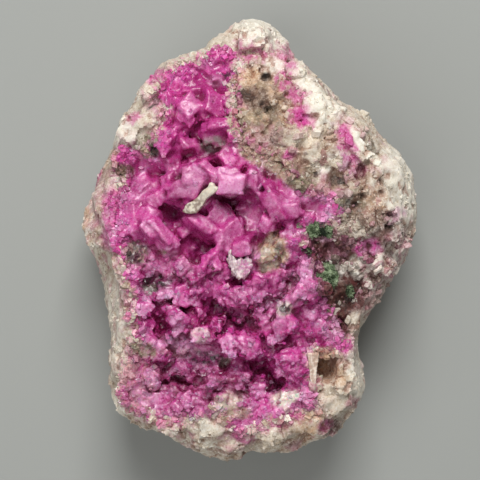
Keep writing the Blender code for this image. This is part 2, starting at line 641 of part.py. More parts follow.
def block_top(block):
    """The height of a matrix block's highest corner."""
    return face_height(block.x, block.y) + block.rise


def fill_crystals():
    """Smaller rhombs from a fixed seed, each on the emptiest of a few spots between those already placed."""
    chance = random.Random(SEED + 1)
    found = []
    for _ in range(FILL_CRYSTALS):
        spots = []
        while len(spots) < SPOTS_TRIED:
            x, y = chance.uniform(-21, 15), chance.uniform(-29, 29)
            if edge_distance(x, y, HOLLOW_EDGE) > 0.8:
                spots.append((x, y))
        placed = (*MAIN_CRYSTALS, *found)
        x, y = max(spots, key=lambda spot: min(math.hypot(spot[0] - c.x, spot[1] - c.y) for c in placed))
        size = chance.uniform(1.5, 2.5)
        wide = size * chance.uniform(0.6, 1.0)
        lean, towards, turn = chance.uniform(12, 44), chance.uniform(0, 360), chance.uniform(-90, 90)
        found.append(Crystal(x, y, chance.uniform(2.8, 4.0), size, wide, lean, towards, turn))
    return found


def make_crust(grid):
    """The pink crust: a skin on the hollow's floor with the rhombs joined to it, within the walls."""
    crust = layer_solid(
        grid,
        2 * GAP,
        lambda x, y: floor_height(x, y) - GAP,
        lambda x, y: floor_height(x, y) + CRUST_THICKNESS,
        "pink_crystal_crust",
        "pink_calcite",
    )
    crystals = (*MAIN_CRYSTALS, *fill_crystals())
    add_boolean(crust, "UNION", rhomb_collection("crystals", crystals, crystal_top))
    keep = layer_solid(grid, 0.0, floor_height, lambda x, y: SKY, "hollow_space")
    add_boolean(crust, "INTERSECT", keep)
    return crust


def lump_ball(lump, grow):
    """A knobbly ball as a bmesh, grown by a clearance."""
    bm = bmesh.new()
    bmesh.ops.create_icosphere(bm, subdivisions=2, radius=1.0)
    surface = face_height(lump.x, lump.y)
    if edge_distance(lump.x, lump.y, HOLLOW_EDGE) > 0:
        surface = floor_height(lump.x, lump.y) + CRUST_THICKNESS
    centre = Vector((lump.x, lump.y, surface + lump.rise - lump.radius))
    for vert in bm.verts:
        bump = 1.0 + 0.3 * noise.noise(vert.co * 2.3 + centre)
        vert.co = centre + vert.co * (lump.radius * bump + grow)
    return bm


def make_tuft(name, lumps, grow, mineral=None):
    """One tuft: its first ball with the others united to it."""
    whole = object_from(lump_ball(lumps[0], grow), name, mineral)
    for i, lump in enumerate(lumps[1:], 1):
        add_boolean(whole, "UNION", object_from(lump_ball(lump, grow), f"{name}_lump_{i}"))
    return whole


def thin_piece(chip, grow, name, mineral=None):
    """A flat chip of stone: its outline raised to its thickness, tipped, and set at its height."""
    bm = bmesh.new()
    points = offset_outline(chip.outline, grow)
    face = bm.faces.new([bm.verts.new((x, y, -grow)) for x, y in points])
    raised = bmesh.ops.extrude_face_region(bm, geom=[face])["geom"]
    tops = [v for v in raised if isinstance(v, bmesh.types.BMVert)]
    bmesh.ops.translate(bm, vec=(0, 0, chip.thickness + 2 * grow), verts=tops)
    middle = sum((Vector(p) for p in chip.outline), Vector((0.0, 0.0))) / len(chip.outline)
    about_x, about_y = (math.radians(angle) for angle in chip.tilt)
    turn = Matrix.Rotation(about_x, 3, "X") @ Matrix.Rotation(about_y, 3, "Y")
    bmesh.ops.rotate(bm, cent=(*middle, 0.0), matrix=turn, verts=bm.verts)
    bmesh.ops.translate(bm, vec=(0, 0, chip.height), verts=bm.verts)
    return object_from(bm, name, mineral)


def make_small_pieces(hosts):
    """The tufts and chips. A grown copy of each cuts its seat in the hosts, so that a thin gap stays."""
    seats = []
    for name, lumps in TUFTS.items():
        make_tuft(name, lumps, 0.0, "malachite")
        seats.append(make_tuft(f"{name}_seat", lumps, GAP))
    for name, chip in CHIPS.items():
        thin_piece(chip, 0.0, name, chip.mineral)
        seats.append(thin_piece(chip, GAP, f"{name}_seat"))
    for host in hosts:
        for seat in seats:
            add_boolean(host, "DIFFERENCE", seat)


def islands_of(bm):
    """The faces of each separate closed surface."""
    waiting = set(bm.faces)
    found = []
    while waiting:
        island = [waiting.pop()]
        for face in island:
            near = {other for edge in face.edges for other in edge.link_faces} & waiting
            waiting -= near
            island.extend(near)
        found.append(island)
    return found


def settle(obj):
    """Apply the object's modifiers and keep its outer surface only, so that no pocket is sealed inside."""
    graph = bpy.context.evaluated_depsgraph_get()
    mesh = bpy.data.meshes.new_from_object(obj.evaluated_get(graph))
    obj.modifiers.clear()
    bm = bmesh.new()
    bm.from_mesh(mesh)
    islands = sorted(islands_of(bm), key=len)
    spare = [face for island in islands[:-1] for face in island]
    bmesh.ops.delete(bm, geom=spare, context="FACES")
    bm.to_mesh(mesh)
    bm.free()
    obj.data = mesh


def recentre(objects):
    """Move every mesh so that the whole box stands on the ground, centred on the origin."""
    corners = [v.co for obj in objects for v in obj.data.vertices]
    low = Vector([min(c[k] for c in corners) for k in range(3)])
    high = Vector([max(c[k] for c in corners) for k in range(3)])
    shift = Vector((-(low.x + high.x) / 2, -(low.y + high.y) / 2, -low.z))
    for obj in objects:
        obj.data.transform(Matrix.Translation(shift))


def main():
    clear_scene()
    rock = make_rock()
    add_boolean(rock, "UNION", rhomb_collection("blocks", BLOCKS, block_top))
    grid = hollow_grid()
    crust = make_crust(grid)
    room = layer_solid(grid, GAP, lambda x, y: floor_height(x, y) - GAP, lambda x, y: SKY, "hollow_room")
    add_boolean(rock, "DIFFERENCE", room)
    pocket_floor = face_height(*BLADE_POCKET[0]) - BLADE_POCKET_DEPTH
    pocket = Chip(BLADE_POCKET, SKY - pocket_floor, (0, 0), pocket_floor, "matrix")
    add_boolean(rock, "DIFFERENCE", thin_piece(pocket, 0.0, "blade_pocket"))
    make_small_pieces((rock, crust))
    visible = [obj for obj in bpy.data.objects if not obj.hide_render]
    for obj in visible:
        settle(obj)
    recentre(visible)


main()
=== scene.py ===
"""Cobaltoan calcite specimen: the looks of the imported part, built over its frame.

A lump of cream to brown matrix rock holds a crust of pink calcite crystals in its upper face. Malachite
tufts, a pale splinter, a pale flake, two brown blades and a clear bead sit in and on them. Lengths in the
classes are millimetres, and the meshes are metres. X and Y are measured from the specimen's layout point.
"""

import logging
import math
import random
from collections.abc import Sequence
from dataclasses import dataclass
from enum import Enum

import bmesh
import bpy
import numpy as np
from mathutils import Matrix, Vector, noise
from mathutils.bvhtree import BVHTree
from mathutils.kdtree import KDTree


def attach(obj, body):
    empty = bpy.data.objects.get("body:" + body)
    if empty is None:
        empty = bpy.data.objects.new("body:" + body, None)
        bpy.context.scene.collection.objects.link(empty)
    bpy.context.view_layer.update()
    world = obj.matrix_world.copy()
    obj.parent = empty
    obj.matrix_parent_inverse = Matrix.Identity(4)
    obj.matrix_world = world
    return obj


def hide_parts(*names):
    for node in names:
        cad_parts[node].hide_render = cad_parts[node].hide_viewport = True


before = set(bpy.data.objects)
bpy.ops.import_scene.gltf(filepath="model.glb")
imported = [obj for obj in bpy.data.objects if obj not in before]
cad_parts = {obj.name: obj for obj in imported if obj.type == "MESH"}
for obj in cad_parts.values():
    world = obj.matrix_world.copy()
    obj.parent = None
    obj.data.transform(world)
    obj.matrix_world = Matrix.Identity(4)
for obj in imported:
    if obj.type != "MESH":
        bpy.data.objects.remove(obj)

log = logging.getLogger("specimen")

MM = 0.001
BODY = "root"
TINT = "tint"
# The layout point stands this far from the frame's origin along Y, in millimetres.
LAYOUT_Y = -0.65
RHOMB_ANGLE = math.radians(80)
# The camera stands at the eye's height over the plan's middle. The regions of colour are placed on a level
# plane at the crown, and lower places lie further out from the middle.
PLAN_HEIGHT = 26.0
EYE_HEIGHT = 266.0
PLAN_MIDDLE = (-1.35, 0.3)
# Rays start this far off the surface, in millimetres. Beside the one straight up, six of them lean out by
# each of these amounts, turned by these angles in radians.
RAY_GAP = 0.12
SKY_RINGS = ((0.62, 0.0), (0.9, 0.5))
DOWN = Vector((0, 0, -1))
# Faces that see less than this share of the sky lie out of sight.
OUT_OF_SIGHT = 0.16
# Vertices that are closer than this, in metres, are one.
SAME_PLACE = 1e-6
# The darkest and the palest value in a colour.
DARKEST = 0.004
PALEST = 0.95
# What the painted shade in the deepest creases between the crystals keeps of each colour,
# and what the dark small rhombs keep of theirs.
CREASE_SHADE = (0.8, 0.5, 0.62)
DARK_RHOMB = (0.6, 0.4, 0.5)
NO_TONE = np.zeros(3)
# The least and the most stretch of a rock grain along each of its edges.
GRAIN_STRETCH = ((0.7, 1.5), (0.6, 1.0), (0.6, 1.1))
# The broken surface's noise: how fast its tilts and its heights change, and what parts the three tilts.
FACET_TILTS = 0.27
FACET_HEIGHTS = 0.19
FACET_STEPS = (7.3, 19.1, 31.7)
# The coloured regions' grains turn by this angle, in radians, from one region to the next.
GRAIN_TURN = 2.4
# The brown stain in the cavity: x, y and reach, in layout millimetres.
CAVITY_STAIN = (11.2, -18.6, 3.4)
# The cloudy veins of the sugary surfaces, and the colour mixing node's sockets.
CLOUDS = {"Scale": 1100.0, "Detail": 6.0, "Roughness": 0.68, "Distortion": 1.4}
MIX_SHARE, MIX_LOW, MIX_HIGH, MIX_RESULT = 0, 6, 7, 2

# Layers of soft noise: the height of each, the width of its lumps in millimetres and its seed.
Layers = tuple[tuple[float, float | tuple[float, float, float], float], ...]

RAGGED_EDGE = ((1.4, 2.4, 40.0), (1.0, 0.9, 41.0), (0.8, 0.4, 42.0))
PATCH_EDGES = (((0.8, 1.7, 3.1), (0.4, 0.6, 5.7)), ((0.8, 1.7, 8.3), (0.4, 0.6, 9.9)))
PATCH_GRAINS = (((0.9, 0.42, 12.7), (1.1, 1.1, 2.2)), ((0.9, 0.42, 45.1), (1.1, 1.1, 57.4)))
VEIL_GRAINS = ((2.4, 0.8, 53.0), (1.0, 0.45, 8.5))

# The hollow's edge seen from above, anticlockwise from its top, in layout millimetres.
HOLLOW_EDGE = (
    (-3.8, 28.8), (-7.4, 28.2), (-10.8, 26.8), (-13.4, 24.0), (-13.6, 22.0), (-12.4, 19.8), (-14.3, 16.2),
    (-14.9, 12.8), (-17.2, 13.6), (-19.4, 13.9), (-20.2, 11.6), (-18.4, 9.8), (-19.8, 6.4), (-19.9, 3.0),
    (-19.3, 0.2), (-18.5, -3.8), (-17.6, -7.4), (-17.4, -11.4), (-17.0, -15.4), (-18.6, -19.4),
    (-19.6, -23.0), (-17.6, -25.2), (-13.4, -27.0), (-8.4, -26.6), (-4.2, -25.2), (-2.0, -28.4),
    (2.6, -27.4), (7.2, -25.8), (10.8, -25.6), (9.0, -22.2), (8.4, -18.2), (12.2, -16.6), (14.8, -15.8),
    (13.4, -13.2), (12.0, -10.4), (10.8, -6.6), (10.4, -3.2), (7.6, -0.6), (8.4, 2.0), (12.4, 2.8),
    (13.8, 4.5), (12.2, 6.8), (7.6, 8.4), (5.2, 11.4), (2.0, 12.9), (-0.9, 14.8), (-1.7, 18.0),
    (-2.2, 21.4), (-2.2, 24.8), (-1.8, 27.6),
)

# Deep places between the crystals: x, y, radius and extra depth, in layout millimetres.
PITS = (
    (-11.2, 4.2, 1.6, 1.4), (-7.2, 0.6, 1.6, 1.2), (-3.2, 6.0, 1.9, 0.8), (-0.6, 6.4, 1.5, 0.6),
    (-14.2, 10.2, 1.5, 1.2), (-10.6, 13.4, 1.2, 1.0), (-7.6, 21.9, 1.0, 0.8), (2.8, 10.6, 1.4, 0.5),
    (-7.6, -1.9, 1.3, 1.0), (-13.3, -1.7, 1.0, 0.8), (-14.0, -5.9, 1.6, 1.0), (-9.9, -6.9, 1.4, 1.0),
    (-5.0, -9.8, 1.7, 1.2), (-1.2, -12.0, 1.9, 1.4), (-13.4, -12.6, 1.5, 1.2), (-11.2, -20.6, 1.8, 1.2),
    (-7.4, -17.4, 1.0, 0.3), (-3.4, -18.2, 0.9, 0.3), (1.8, -19.6, 1.5, 1.2), (4.0, -21.4, 1.4, 1.2),
    (1.0, 0.2, 1.2, 0.9), (5.8, -14.8, 1.3, 0.9), (5.2, 2.0, 1.3, 0.9), (-9.0, -4.6, 1.1, 0.8),
    (7.0, -10.6, 1.2, 0.9), (-2.2, -5.0, 1.3, 0.9), (-16.4, 5.0, 1.0, 0.7), (8.4, -1.6, 1.0, 0.9),
)

# Places where the pink spreads past the hollow's edge or stops short of it: x, y, reach along X and Y, and
# how far.
SPREADS = ((-19.5, 2.5, 2.5, 5.5, 3.0), (-1.6, 19.8, 1.7, 4.8, -2.6))


class Mineral(Enum):
    """The minerals and stains that colour the specimen, as linear colours."""

    WHITE = (0.83, 0.775, 0.66)
    CREAM = (0.66, 0.57, 0.45)
    TAN = (0.44, 0.31, 0.22)
    AMBER = (0.62, 0.40, 0.24)
    RUST = (0.34, 0.18, 0.12)
    BROWN = (0.17, 0.095, 0.065)
    OLIVE = (0.25, 0.21, 0.13)
    SMOKE = (0.26, 0.23, 0.20)
    CHARCOAL = (0.026, 0.018, 0.015)
    MAROON = (0.088, 0.013, 0.011)
    ROSE = (0.50, 0.22, 0.27)
    LILAC = (0.58, 0.24, 0.40)
    FROST = (0.72, 0.32, 0.54)
    PINK = (0.565, 0.045, 0.28)
    MAGENTA = (0.38, 0.018, 0.17)
    WINE = (0.155, 0.004, 0.036)
    PINE = (0.016, 0.026, 0.013)
    MALACHITE = (0.090, 0.140, 0.062)
    SAGE = (0.38, 0.47, 0.28)
    SIENNA = (0.36, 0.2, 0.14)
    HONEY = (0.66, 0.46, 0.36)

    @property
    def colour(self) -> np.ndarray:
        """The linear colour as an array."""
        return np.array(self.value)


@dataclass(frozen=True)
class Patch:
    """One coloured region of the upper face: an ellipse with a ragged edge.

    Long and wide are its half lengths, and turn is its long side's bearing in degrees. Cover is how fully it
    colours the stone, and broken is how far it falls apart into grains.
    """

    x: float
    y: float
    long: float
    wide: float
    turn: float
    mineral: Mineral
    cover: float = 0.9
    broken: float = 0.2


@dataclass(frozen=True)
class Crystal:
    """One calcite rhomb, in millimetres and degrees, as in the part's own table.

    x and y place the middle of its upper face. Long and wide are the edges of that face. Lean tips it towards
    a bearing, after a turn about the vertical.
    """

    x: float
    y: float
    long: float
    wide: float
    lean: float
    towards: float
    turn: float


ROCK_PATCHES = (
    Patch(16.0, -3.0, 9.0, 6.2, 60, Mineral.ROSE, 0.8, 0.3),
    Patch(15.6, -2.6, 8.4, 5.6, 60, Mineral.BROWN, 0.8, 0.9),
    Patch(14.6, -4.4, 7.6, 4.4, 70, Mineral.MAROON, 0.9, 0.75),
    Patch(18.2, -1.6, 7.0, 5.4, 50, Mineral.WHITE, 0.7, 1.0),
    Patch(12.4, -0.8, 4.4, 2.2, 0, Mineral.MAROON, 0.95, 0.8),
    Patch(12.4, -0.8, 4.0, 2.0, 0, Mineral.CHARCOAL, 0.6, 0.95),
    Patch(12.4, -0.8, 4.0, 2.0, 0, Mineral.LILAC, 0.6, 1.0),
    Patch(3.0, 18.5, 9.0, 5.6, 100, Mineral.TAN, 0.95, 0.15),
    Patch(2.6, 17.6, 8.0, 4.4, 100, Mineral.AMBER, 0.6, 0.9),
    Patch(2.6, 19.6, 5.6, 3.8, 95, Mineral.BROWN, 0.45, 1.0),
    Patch(5.4, 13.6, 5.0, 4.4, 0, Mineral.CREAM, 0.75, 0.9),
    Patch(1.0, 17.0, 7.8, 3.4, 95, Mineral.OLIVE, 0.55, 1.0),
    Patch(2.4, 15.0, 3.6, 3.2, 0, Mineral.ROSE, 0.5, 0.9),
    Patch(6.0, 10.6, 4.6, 2.8, -30, Mineral.TAN, 0.9, 0.3),
    Patch(6.4, 11.2, 4.0, 2.2, -30, Mineral.BROWN, 0.5, 0.9),
    Patch(4.0, 14.4, 4.0, 2.6, 0, Mineral.BROWN, 0.4, 0.9),
    Patch(1.0, 21.6, 2.8, 1.6, -20, Mineral.BROWN, 0.9, 0.3),
    Patch(-0.4, 22.0, 1.5, 0.7, -20, Mineral.CHARCOAL, 0.75, 0.75),
    Patch(2.4, 20.2, 1.5, 0.7, -35, Mineral.CHARCOAL, 0.7, 0.8),
    Patch(-0.3, 24.8, 1.7, 1.2, 10, Mineral.AMBER, 0.8, 0.2),
    Patch(2.4, 28.6, 5.0, 2.4, -8, Mineral.PINK, 0.62, 0.9),
    Patch(5.6, 25.0, 4.0, 1.8, -68, Mineral.PINK, 0.75, 0.8),
    Patch(8.2, 19.4, 3.6, 2.2, -80, Mineral.PINK, 0.7, 0.9),
    Patch(8.2, 18.8, 1.4, 1.2, 0, Mineral.PINK, 0.95, 0.3),
    Patch(1.8, 31.6, 4.8, 2.3, -20, Mineral.WHITE, 0.9, 0.25),
    Patch(-4.4, 30.2, 3.4, 1.0, 28, Mineral.CREAM, 0.9, 0.2),
    Patch(3.6, 26.5, 1.6, 1.4, 0, Mineral.WHITE, 0.9, 0.2),
    Patch(2.5, 24.8, 0.8, 0.6, 30, Mineral.CHARCOAL, 1.0, 0.0),
    Patch(11.0, 20.1, 2.7, 2.1, -20, Mineral.WHITE, 0.95, 0.1),
    Patch(8.0, 24.4, 1.9, 1.2, -50, Mineral.WHITE, 0.85, 0.3),
    Patch(10.0, 22.8, 1.7, 1.2, -50, Mineral.WHITE, 0.85, 0.3),
    Patch(7.4, 15.2, 2.2, 1.6, 20, Mineral.CREAM, 0.85, 0.5),
    Patch(9.6, 13.9, 2.6, 1.8, -10, Mineral.CREAM, 0.8, 0.6),
    Patch(6.2, 13.4, 1.2, 0.9, 40, Mineral.PINK, 0.85, 0.4),
    Patch(13.0, 15.2, 2.6, 1.8, 0, Mineral.TAN, 0.7, 0.5),
    Patch(14.6, 16.7, 1.7, 1.3, 40, Mineral.PINK, 0.8, 0.5),
    Patch(15.2, 12.5, 2.9, 1.9, 100, Mineral.LILAC, 0.7, 0.8),
    Patch(16.6, 10.7, 1.5, 0.9, 20, Mineral.WINE, 0.6, 0.6),
    Patch(17.9, 12.6, 1.9, 1.1, 110, Mineral.TAN, 0.7, 0.3),
    Patch(15.0, 14.2, 3.0, 1.5, -70, Mineral.PINK, 0.7, 0.8),
    Patch(16.4, 10.2, 1.5, 1.0, 30, Mineral.WINE, 0.85, 0.5),
    Patch(17.6, 14.0, 4.2, 0.8, -54, Mineral.WHITE, 1.0, 0.1),
    Patch(13.2, 9.2, 1.9, 0.9, 20, Mineral.CHARCOAL, 0.95, 0.2),
    Patch(14.2, 9.5, 0.9, 0.5, 20, Mineral.SMOKE, 0.9, 0.3),
    Patch(12.0, 7.6, 1.6, 0.5, 100, Mineral.LILAC, 0.9, 0.3),
    Patch(13.6, 7.2, 1.2, 0.7, 10, Mineral.LILAC, 0.8, 0.5),
    Patch(17.0, 6.9, 0.8, 0.6, 60, Mineral.CHARCOAL, 0.9, 0.4),
    Patch(15.0, 5.3, 3.1, 2.1, 55, Mineral.OLIVE, 0.9, 0.3),
    Patch(15.7, 5.6, 2.6, 0.38, 60, Mineral.CHARCOAL, 0.95, 0.2),
    Patch(14.2, 5.2, 2.3, 0.28, 58, Mineral.CHARCOAL, 0.85, 0.3),
    Patch(14.9, 5.6, 2.2, 0.30, 58, Mineral.SMOKE, 0.9, 0.1),
    Patch(16.2, 4.2, 1.0, 0.5, 80, Mineral.CHARCOAL, 0.9, 0.3),
    Patch(19.4, 6.9, 2.6, 1.9, 60, Mineral.AMBER, 0.85, 0.3),
    Patch(19.2, 7.2, 2.3, 1.7, 60, Mineral.WHITE, 0.45, 0.95),
    Patch(18.2, 5.6, 4.6, 3.4, 60, Mineral.RUST, 0.45, 1.0),
    Patch(20.0, 7.4, 0.5, 0.4, 0, Mineral.CHARCOAL, 0.8, 0.3),
    Patch(20.6, 10.4, 0.5, 0.4, 0, Mineral.CHARCOAL, 0.7, 0.3),
    Patch(22.7, 8.4, 6.4, 2.4, 100, Mineral.WHITE, 0.95, 0.3),
    Patch(16.8, 18.6, 4.6, 1.6, -50, Mineral.CREAM, 0.8, 0.4),
    Patch(21.4, 1.8, 2.4, 1.7, 90, Mineral.SMOKE, 0.85, 0.5),
    Patch(19.8, 0.7, 1.6, 0.9, 10, Mineral.BROWN, 0.8, 0.3),
    Patch(22.8, 0.2, 1.4, 0.7, 50, Mineral.CHARCOAL, 0.7, 0.8),
    Patch(22.2, 4.2, 1.6, 1.0, 30, Mineral.LILAC, 0.6, 0.7),
    Patch(21.0, 2.2, 1.0, 0.7, 80, Mineral.CHARCOAL, 1.0, 0.2),
    Patch(15.4, 2.3, 2.7, 1.7, 0, Mineral.CREAM, 0.85, 0.4),
    Patch(15.6, 2.5, 3.0, 1.9, 0, Mineral.BROWN, 0.4, 1.0),
    Patch(18.6, 3.6, 1.6, 1.2, 0, Mineral.TAN, 0.7, 0.5),
    Patch(19.4, 1.9, 2.6, 2.0, 80, Mineral.BROWN, 0.6, 0.7),
    Patch(8.4, 8.8, 2.3, 1.9, 90, Mineral.OLIVE, 0.8, 0.4),
    Patch(11.6, 8.4, 1.8, 1.2, 10, Mineral.TAN, 0.7, 0.5),
    Patch(10.0, 10.2, 0.5, 0.45, 0, Mineral.CHARCOAL, 0.9, 0.2),
    Patch(16.4, -1.2, 2.6, 1.4, 0, Mineral.BROWN, 0.8, 0.6),
    Patch(16.2, -3.8, 1.9, 1.4, 50, Mineral.SMOKE, 0.8, 0.3),
    Patch(16.5, -4.0, 1.5, 1.0, 50, Mineral.WHITE, 0.9, 0.3),
    Patch(20.2, -3.2, 5.0, 3.0, 60, Mineral.ROSE, 0.85, 0.7),
    Patch(19.6, -2.6, 4.6, 2.4, 60, Mineral.MAROON, 0.45, 1.0),
    Patch(20.6, -3.6, 4.8, 2.8, 60, Mineral.WHITE, 0.75, 1.0),
    Patch(17.9, -0.9, 1.9, 1.4, 0, Mineral.PINK, 0.95, 0.15),
    Patch(17.9, -0.9, 1.7, 1.2, 0, Mineral.LILAC, 0.6, 0.9),
    Patch(18.0, -0.6, 0.5, 0.4, 60, Mineral.MAROON, 0.9, 0.2),
    Patch(18.2, -2.0, 1.6, 0.35, -40, Mineral.MAROON, 0.9, 0.2),
    Patch(18.6, -6.6, 2.4, 1.6, 50, Mineral.BROWN, 0.5, 0.9),
    Patch(10.3, -1.2, 2.3, 1.7, 0, Mineral.MAROON, 0.9, 0.4),
    Patch(8.7, -1.4, 0.9, 0.7, 90, Mineral.CHARCOAL, 0.85, 0.3),
    Patch(14.2, -1.2, 2.0, 1.7, 90, Mineral.MAROON, 0.8, 0.6),
    Patch(14.2, -8.2, 3.4, 2.6, 80, Mineral.MAROON, 0.95, 0.25),
    Patch(14.0, -9.6, 4.2, 2.0, 85, Mineral.BROWN, 0.6, 1.0),
    Patch(14.4, -9.0, 2.0, 1.4, 60, Mineral.CHARCOAL, 0.7, 0.9),
    Patch(13.9, -12.2, 2.4, 1.0, 95, Mineral.MAROON, 0.95, 0.2),
    Patch(16.8, -7.6, 2.0, 1.2, 60, Mineral.MAROON, 0.6, 0.8),
    Patch(16.0, -12.2, 1.9, 1.1, 80, Mineral.CREAM, 0.9, 0.3),
    Patch(15.8, -9.6, 1.4, 1.0, 20, Mineral.MAROON, 0.7, 0.7),
    Patch(12.9, -12.3, 1.0, 0.7, 0, Mineral.FROST, 0.8, 0.2),
    Patch(14.4, -15.6, 1.3, 0.9, 0, Mineral.PINK, 0.95, 0.2),
    Patch(15.2, -17.4, 1.2, 0.9, 0, Mineral.MAROON, 0.7, 0.6),
    Patch(13.9, -22.9, 4.4, 3.3, 60, Mineral.CREAM, 0.9, 0.2),
    Patch(14.3, -20.2, 1.7, 1.2, 70, Mineral.AMBER, 0.75, 0.4),
    Patch(14.6, -19.6, 0.8, 0.6, 70, Mineral.BROWN, 0.6, 0.4),
    Patch(11.6, -18.4, 2.6, 1.9, 90, Mineral.AMBER, 1.0, 0.0),
    Patch(12.6, -17.6, 1.2, 0.5, 90, Mineral.ROSE, 0.7, 0.3),
    Patch(16.2, -20.6, 4.6, 1.3, 100, Mineral.WHITE, 0.85, 0.4),
    Patch(12.4, -27.6, 1.9, 1.2, 30, Mineral.MAROON, 0.8, 0.6),
    Patch(15.4, -24.0, 1.2, 0.9, 50, Mineral.ROSE, 0.7, 0.5),
    Patch(2.4, -30.0, 4.6, 1.3, 5, Mineral.CREAM, 0.9, 0.3),
    Patch(8.9, -27.5, 2.6, 1.8, 40, Mineral.AMBER, 0.6, 0.5),
    Patch(11.6, -27.6, 1.5, 0.9, 20, Mineral.MAGENTA, 0.7, 0.7),
    Patch(-2.6, -26.1, 2.2, 1.4, 0, Mineral.TAN, 0.85, 0.4),
    Patch(-6.9, -27.6, 3.4, 1.3, -15, Mineral.CREAM, 0.9, 0.2),
    Patch(-6.9, -27.4, 2.6, 0.9, -15, Mineral.WHITE, 0.7, 0.7),
    Patch(-0.8, -29.1, 1.8, 1.2, -30, Mineral.PINK, 0.7, 0.6),
    Patch(-18.3, 16.4, 3.3, 2.2, 70, Mineral.WHITE, 0.85, 0.3),
    Patch(-15.3, 17.6, 2.3, 2.2, 0, Mineral.CREAM, 0.75, 0.4),
    Patch(-15.6, 14.8, 1.8, 1.5, 0, Mineral.OLIVE, 0.9, 0.2),
    Patch(-14.4, 13.8, 1.1, 0.5, 100, Mineral.CHARCOAL, 0.9, 0.2),
    Patch(-17.3, 18.6, 1.4, 0.9, 20, Mineral.PINK, 0.7, 0.6),
    Patch(-14.1, 20.7, 1.5, 0.25, 35, Mineral.CHARCOAL, 0.85, 0.2),
    Patch(-14.4, 22.8, 1.7, 1.3, 45, Mineral.CREAM, 0.9, 0.3),
    Patch(-14.2, 21.5, 1.4, 0.8, 30, Mineral.ROSE, 0.7, 0.4),
    Patch(-13.4, 25.5, 2.6, 1.3, 30, Mineral.PINK, 0.8, 0.5),
    Patch(-11.6, 27.2, 2.4, 1.2, 20, Mineral.CREAM, 0.95, 0.2),
    Patch(-19.0, 12.8, 1.7, 1.4, 60, Mineral.PINK, 0.9, 0.4),
    Patch(-19.0, 10.6, 1.7, 1.3, 0, Mineral.BROWN, 0.9, 0.4),
    Patch(-21.6, 11.6, 3.4, 1.6, 60, Mineral.TAN, 0.8, 0.5),
    Patch(-22.8, 5.9, 4.4, 2.2, 75, Mineral.ROSE, 0.55, 0.7),
    Patch(-20.6, 3.4, 4.6, 1.5, 92, Mineral.PINK, 0.85, 0.3),
    Patch(-20.8, 2.8, 4.4, 1.4, 92, Mineral.LILAC, 0.5, 1.0),
    Patch(-20.4, 5.6, 1.6, 0.7, 92, Mineral.MAGENTA, 0.8, 0.2),
    Patch(-20.2, 0.6, 1.3, 0.9, 92, Mineral.FROST, 0.6, 0.5),
    Patch(-23.2, 8.9, 2.6, 0.6, 62, Mineral.MAGENTA, 0.8, 0.4),
    Patch(-24.6, 3.6, 1.8, 0.8, 80, Mineral.AMBER, 0.6, 0.3),
    Patch(-17.2, -21.5, 4.6, 2.2, 80, Mineral.ROSE, 0.6, 0.8),
    Patch(-19.9, -24.6, 2.2, 1.0, -50, Mineral.WHITE, 0.95, 0.1),
    Patch(-19.4, -19.4, 4.6, 1.3, 88, Mineral.CREAM, 0.7, 0.4),
    Patch(-20.2, -12.0, 8.0, 1.8, 90, Mineral.WHITE, 0.5, 0.9),
)

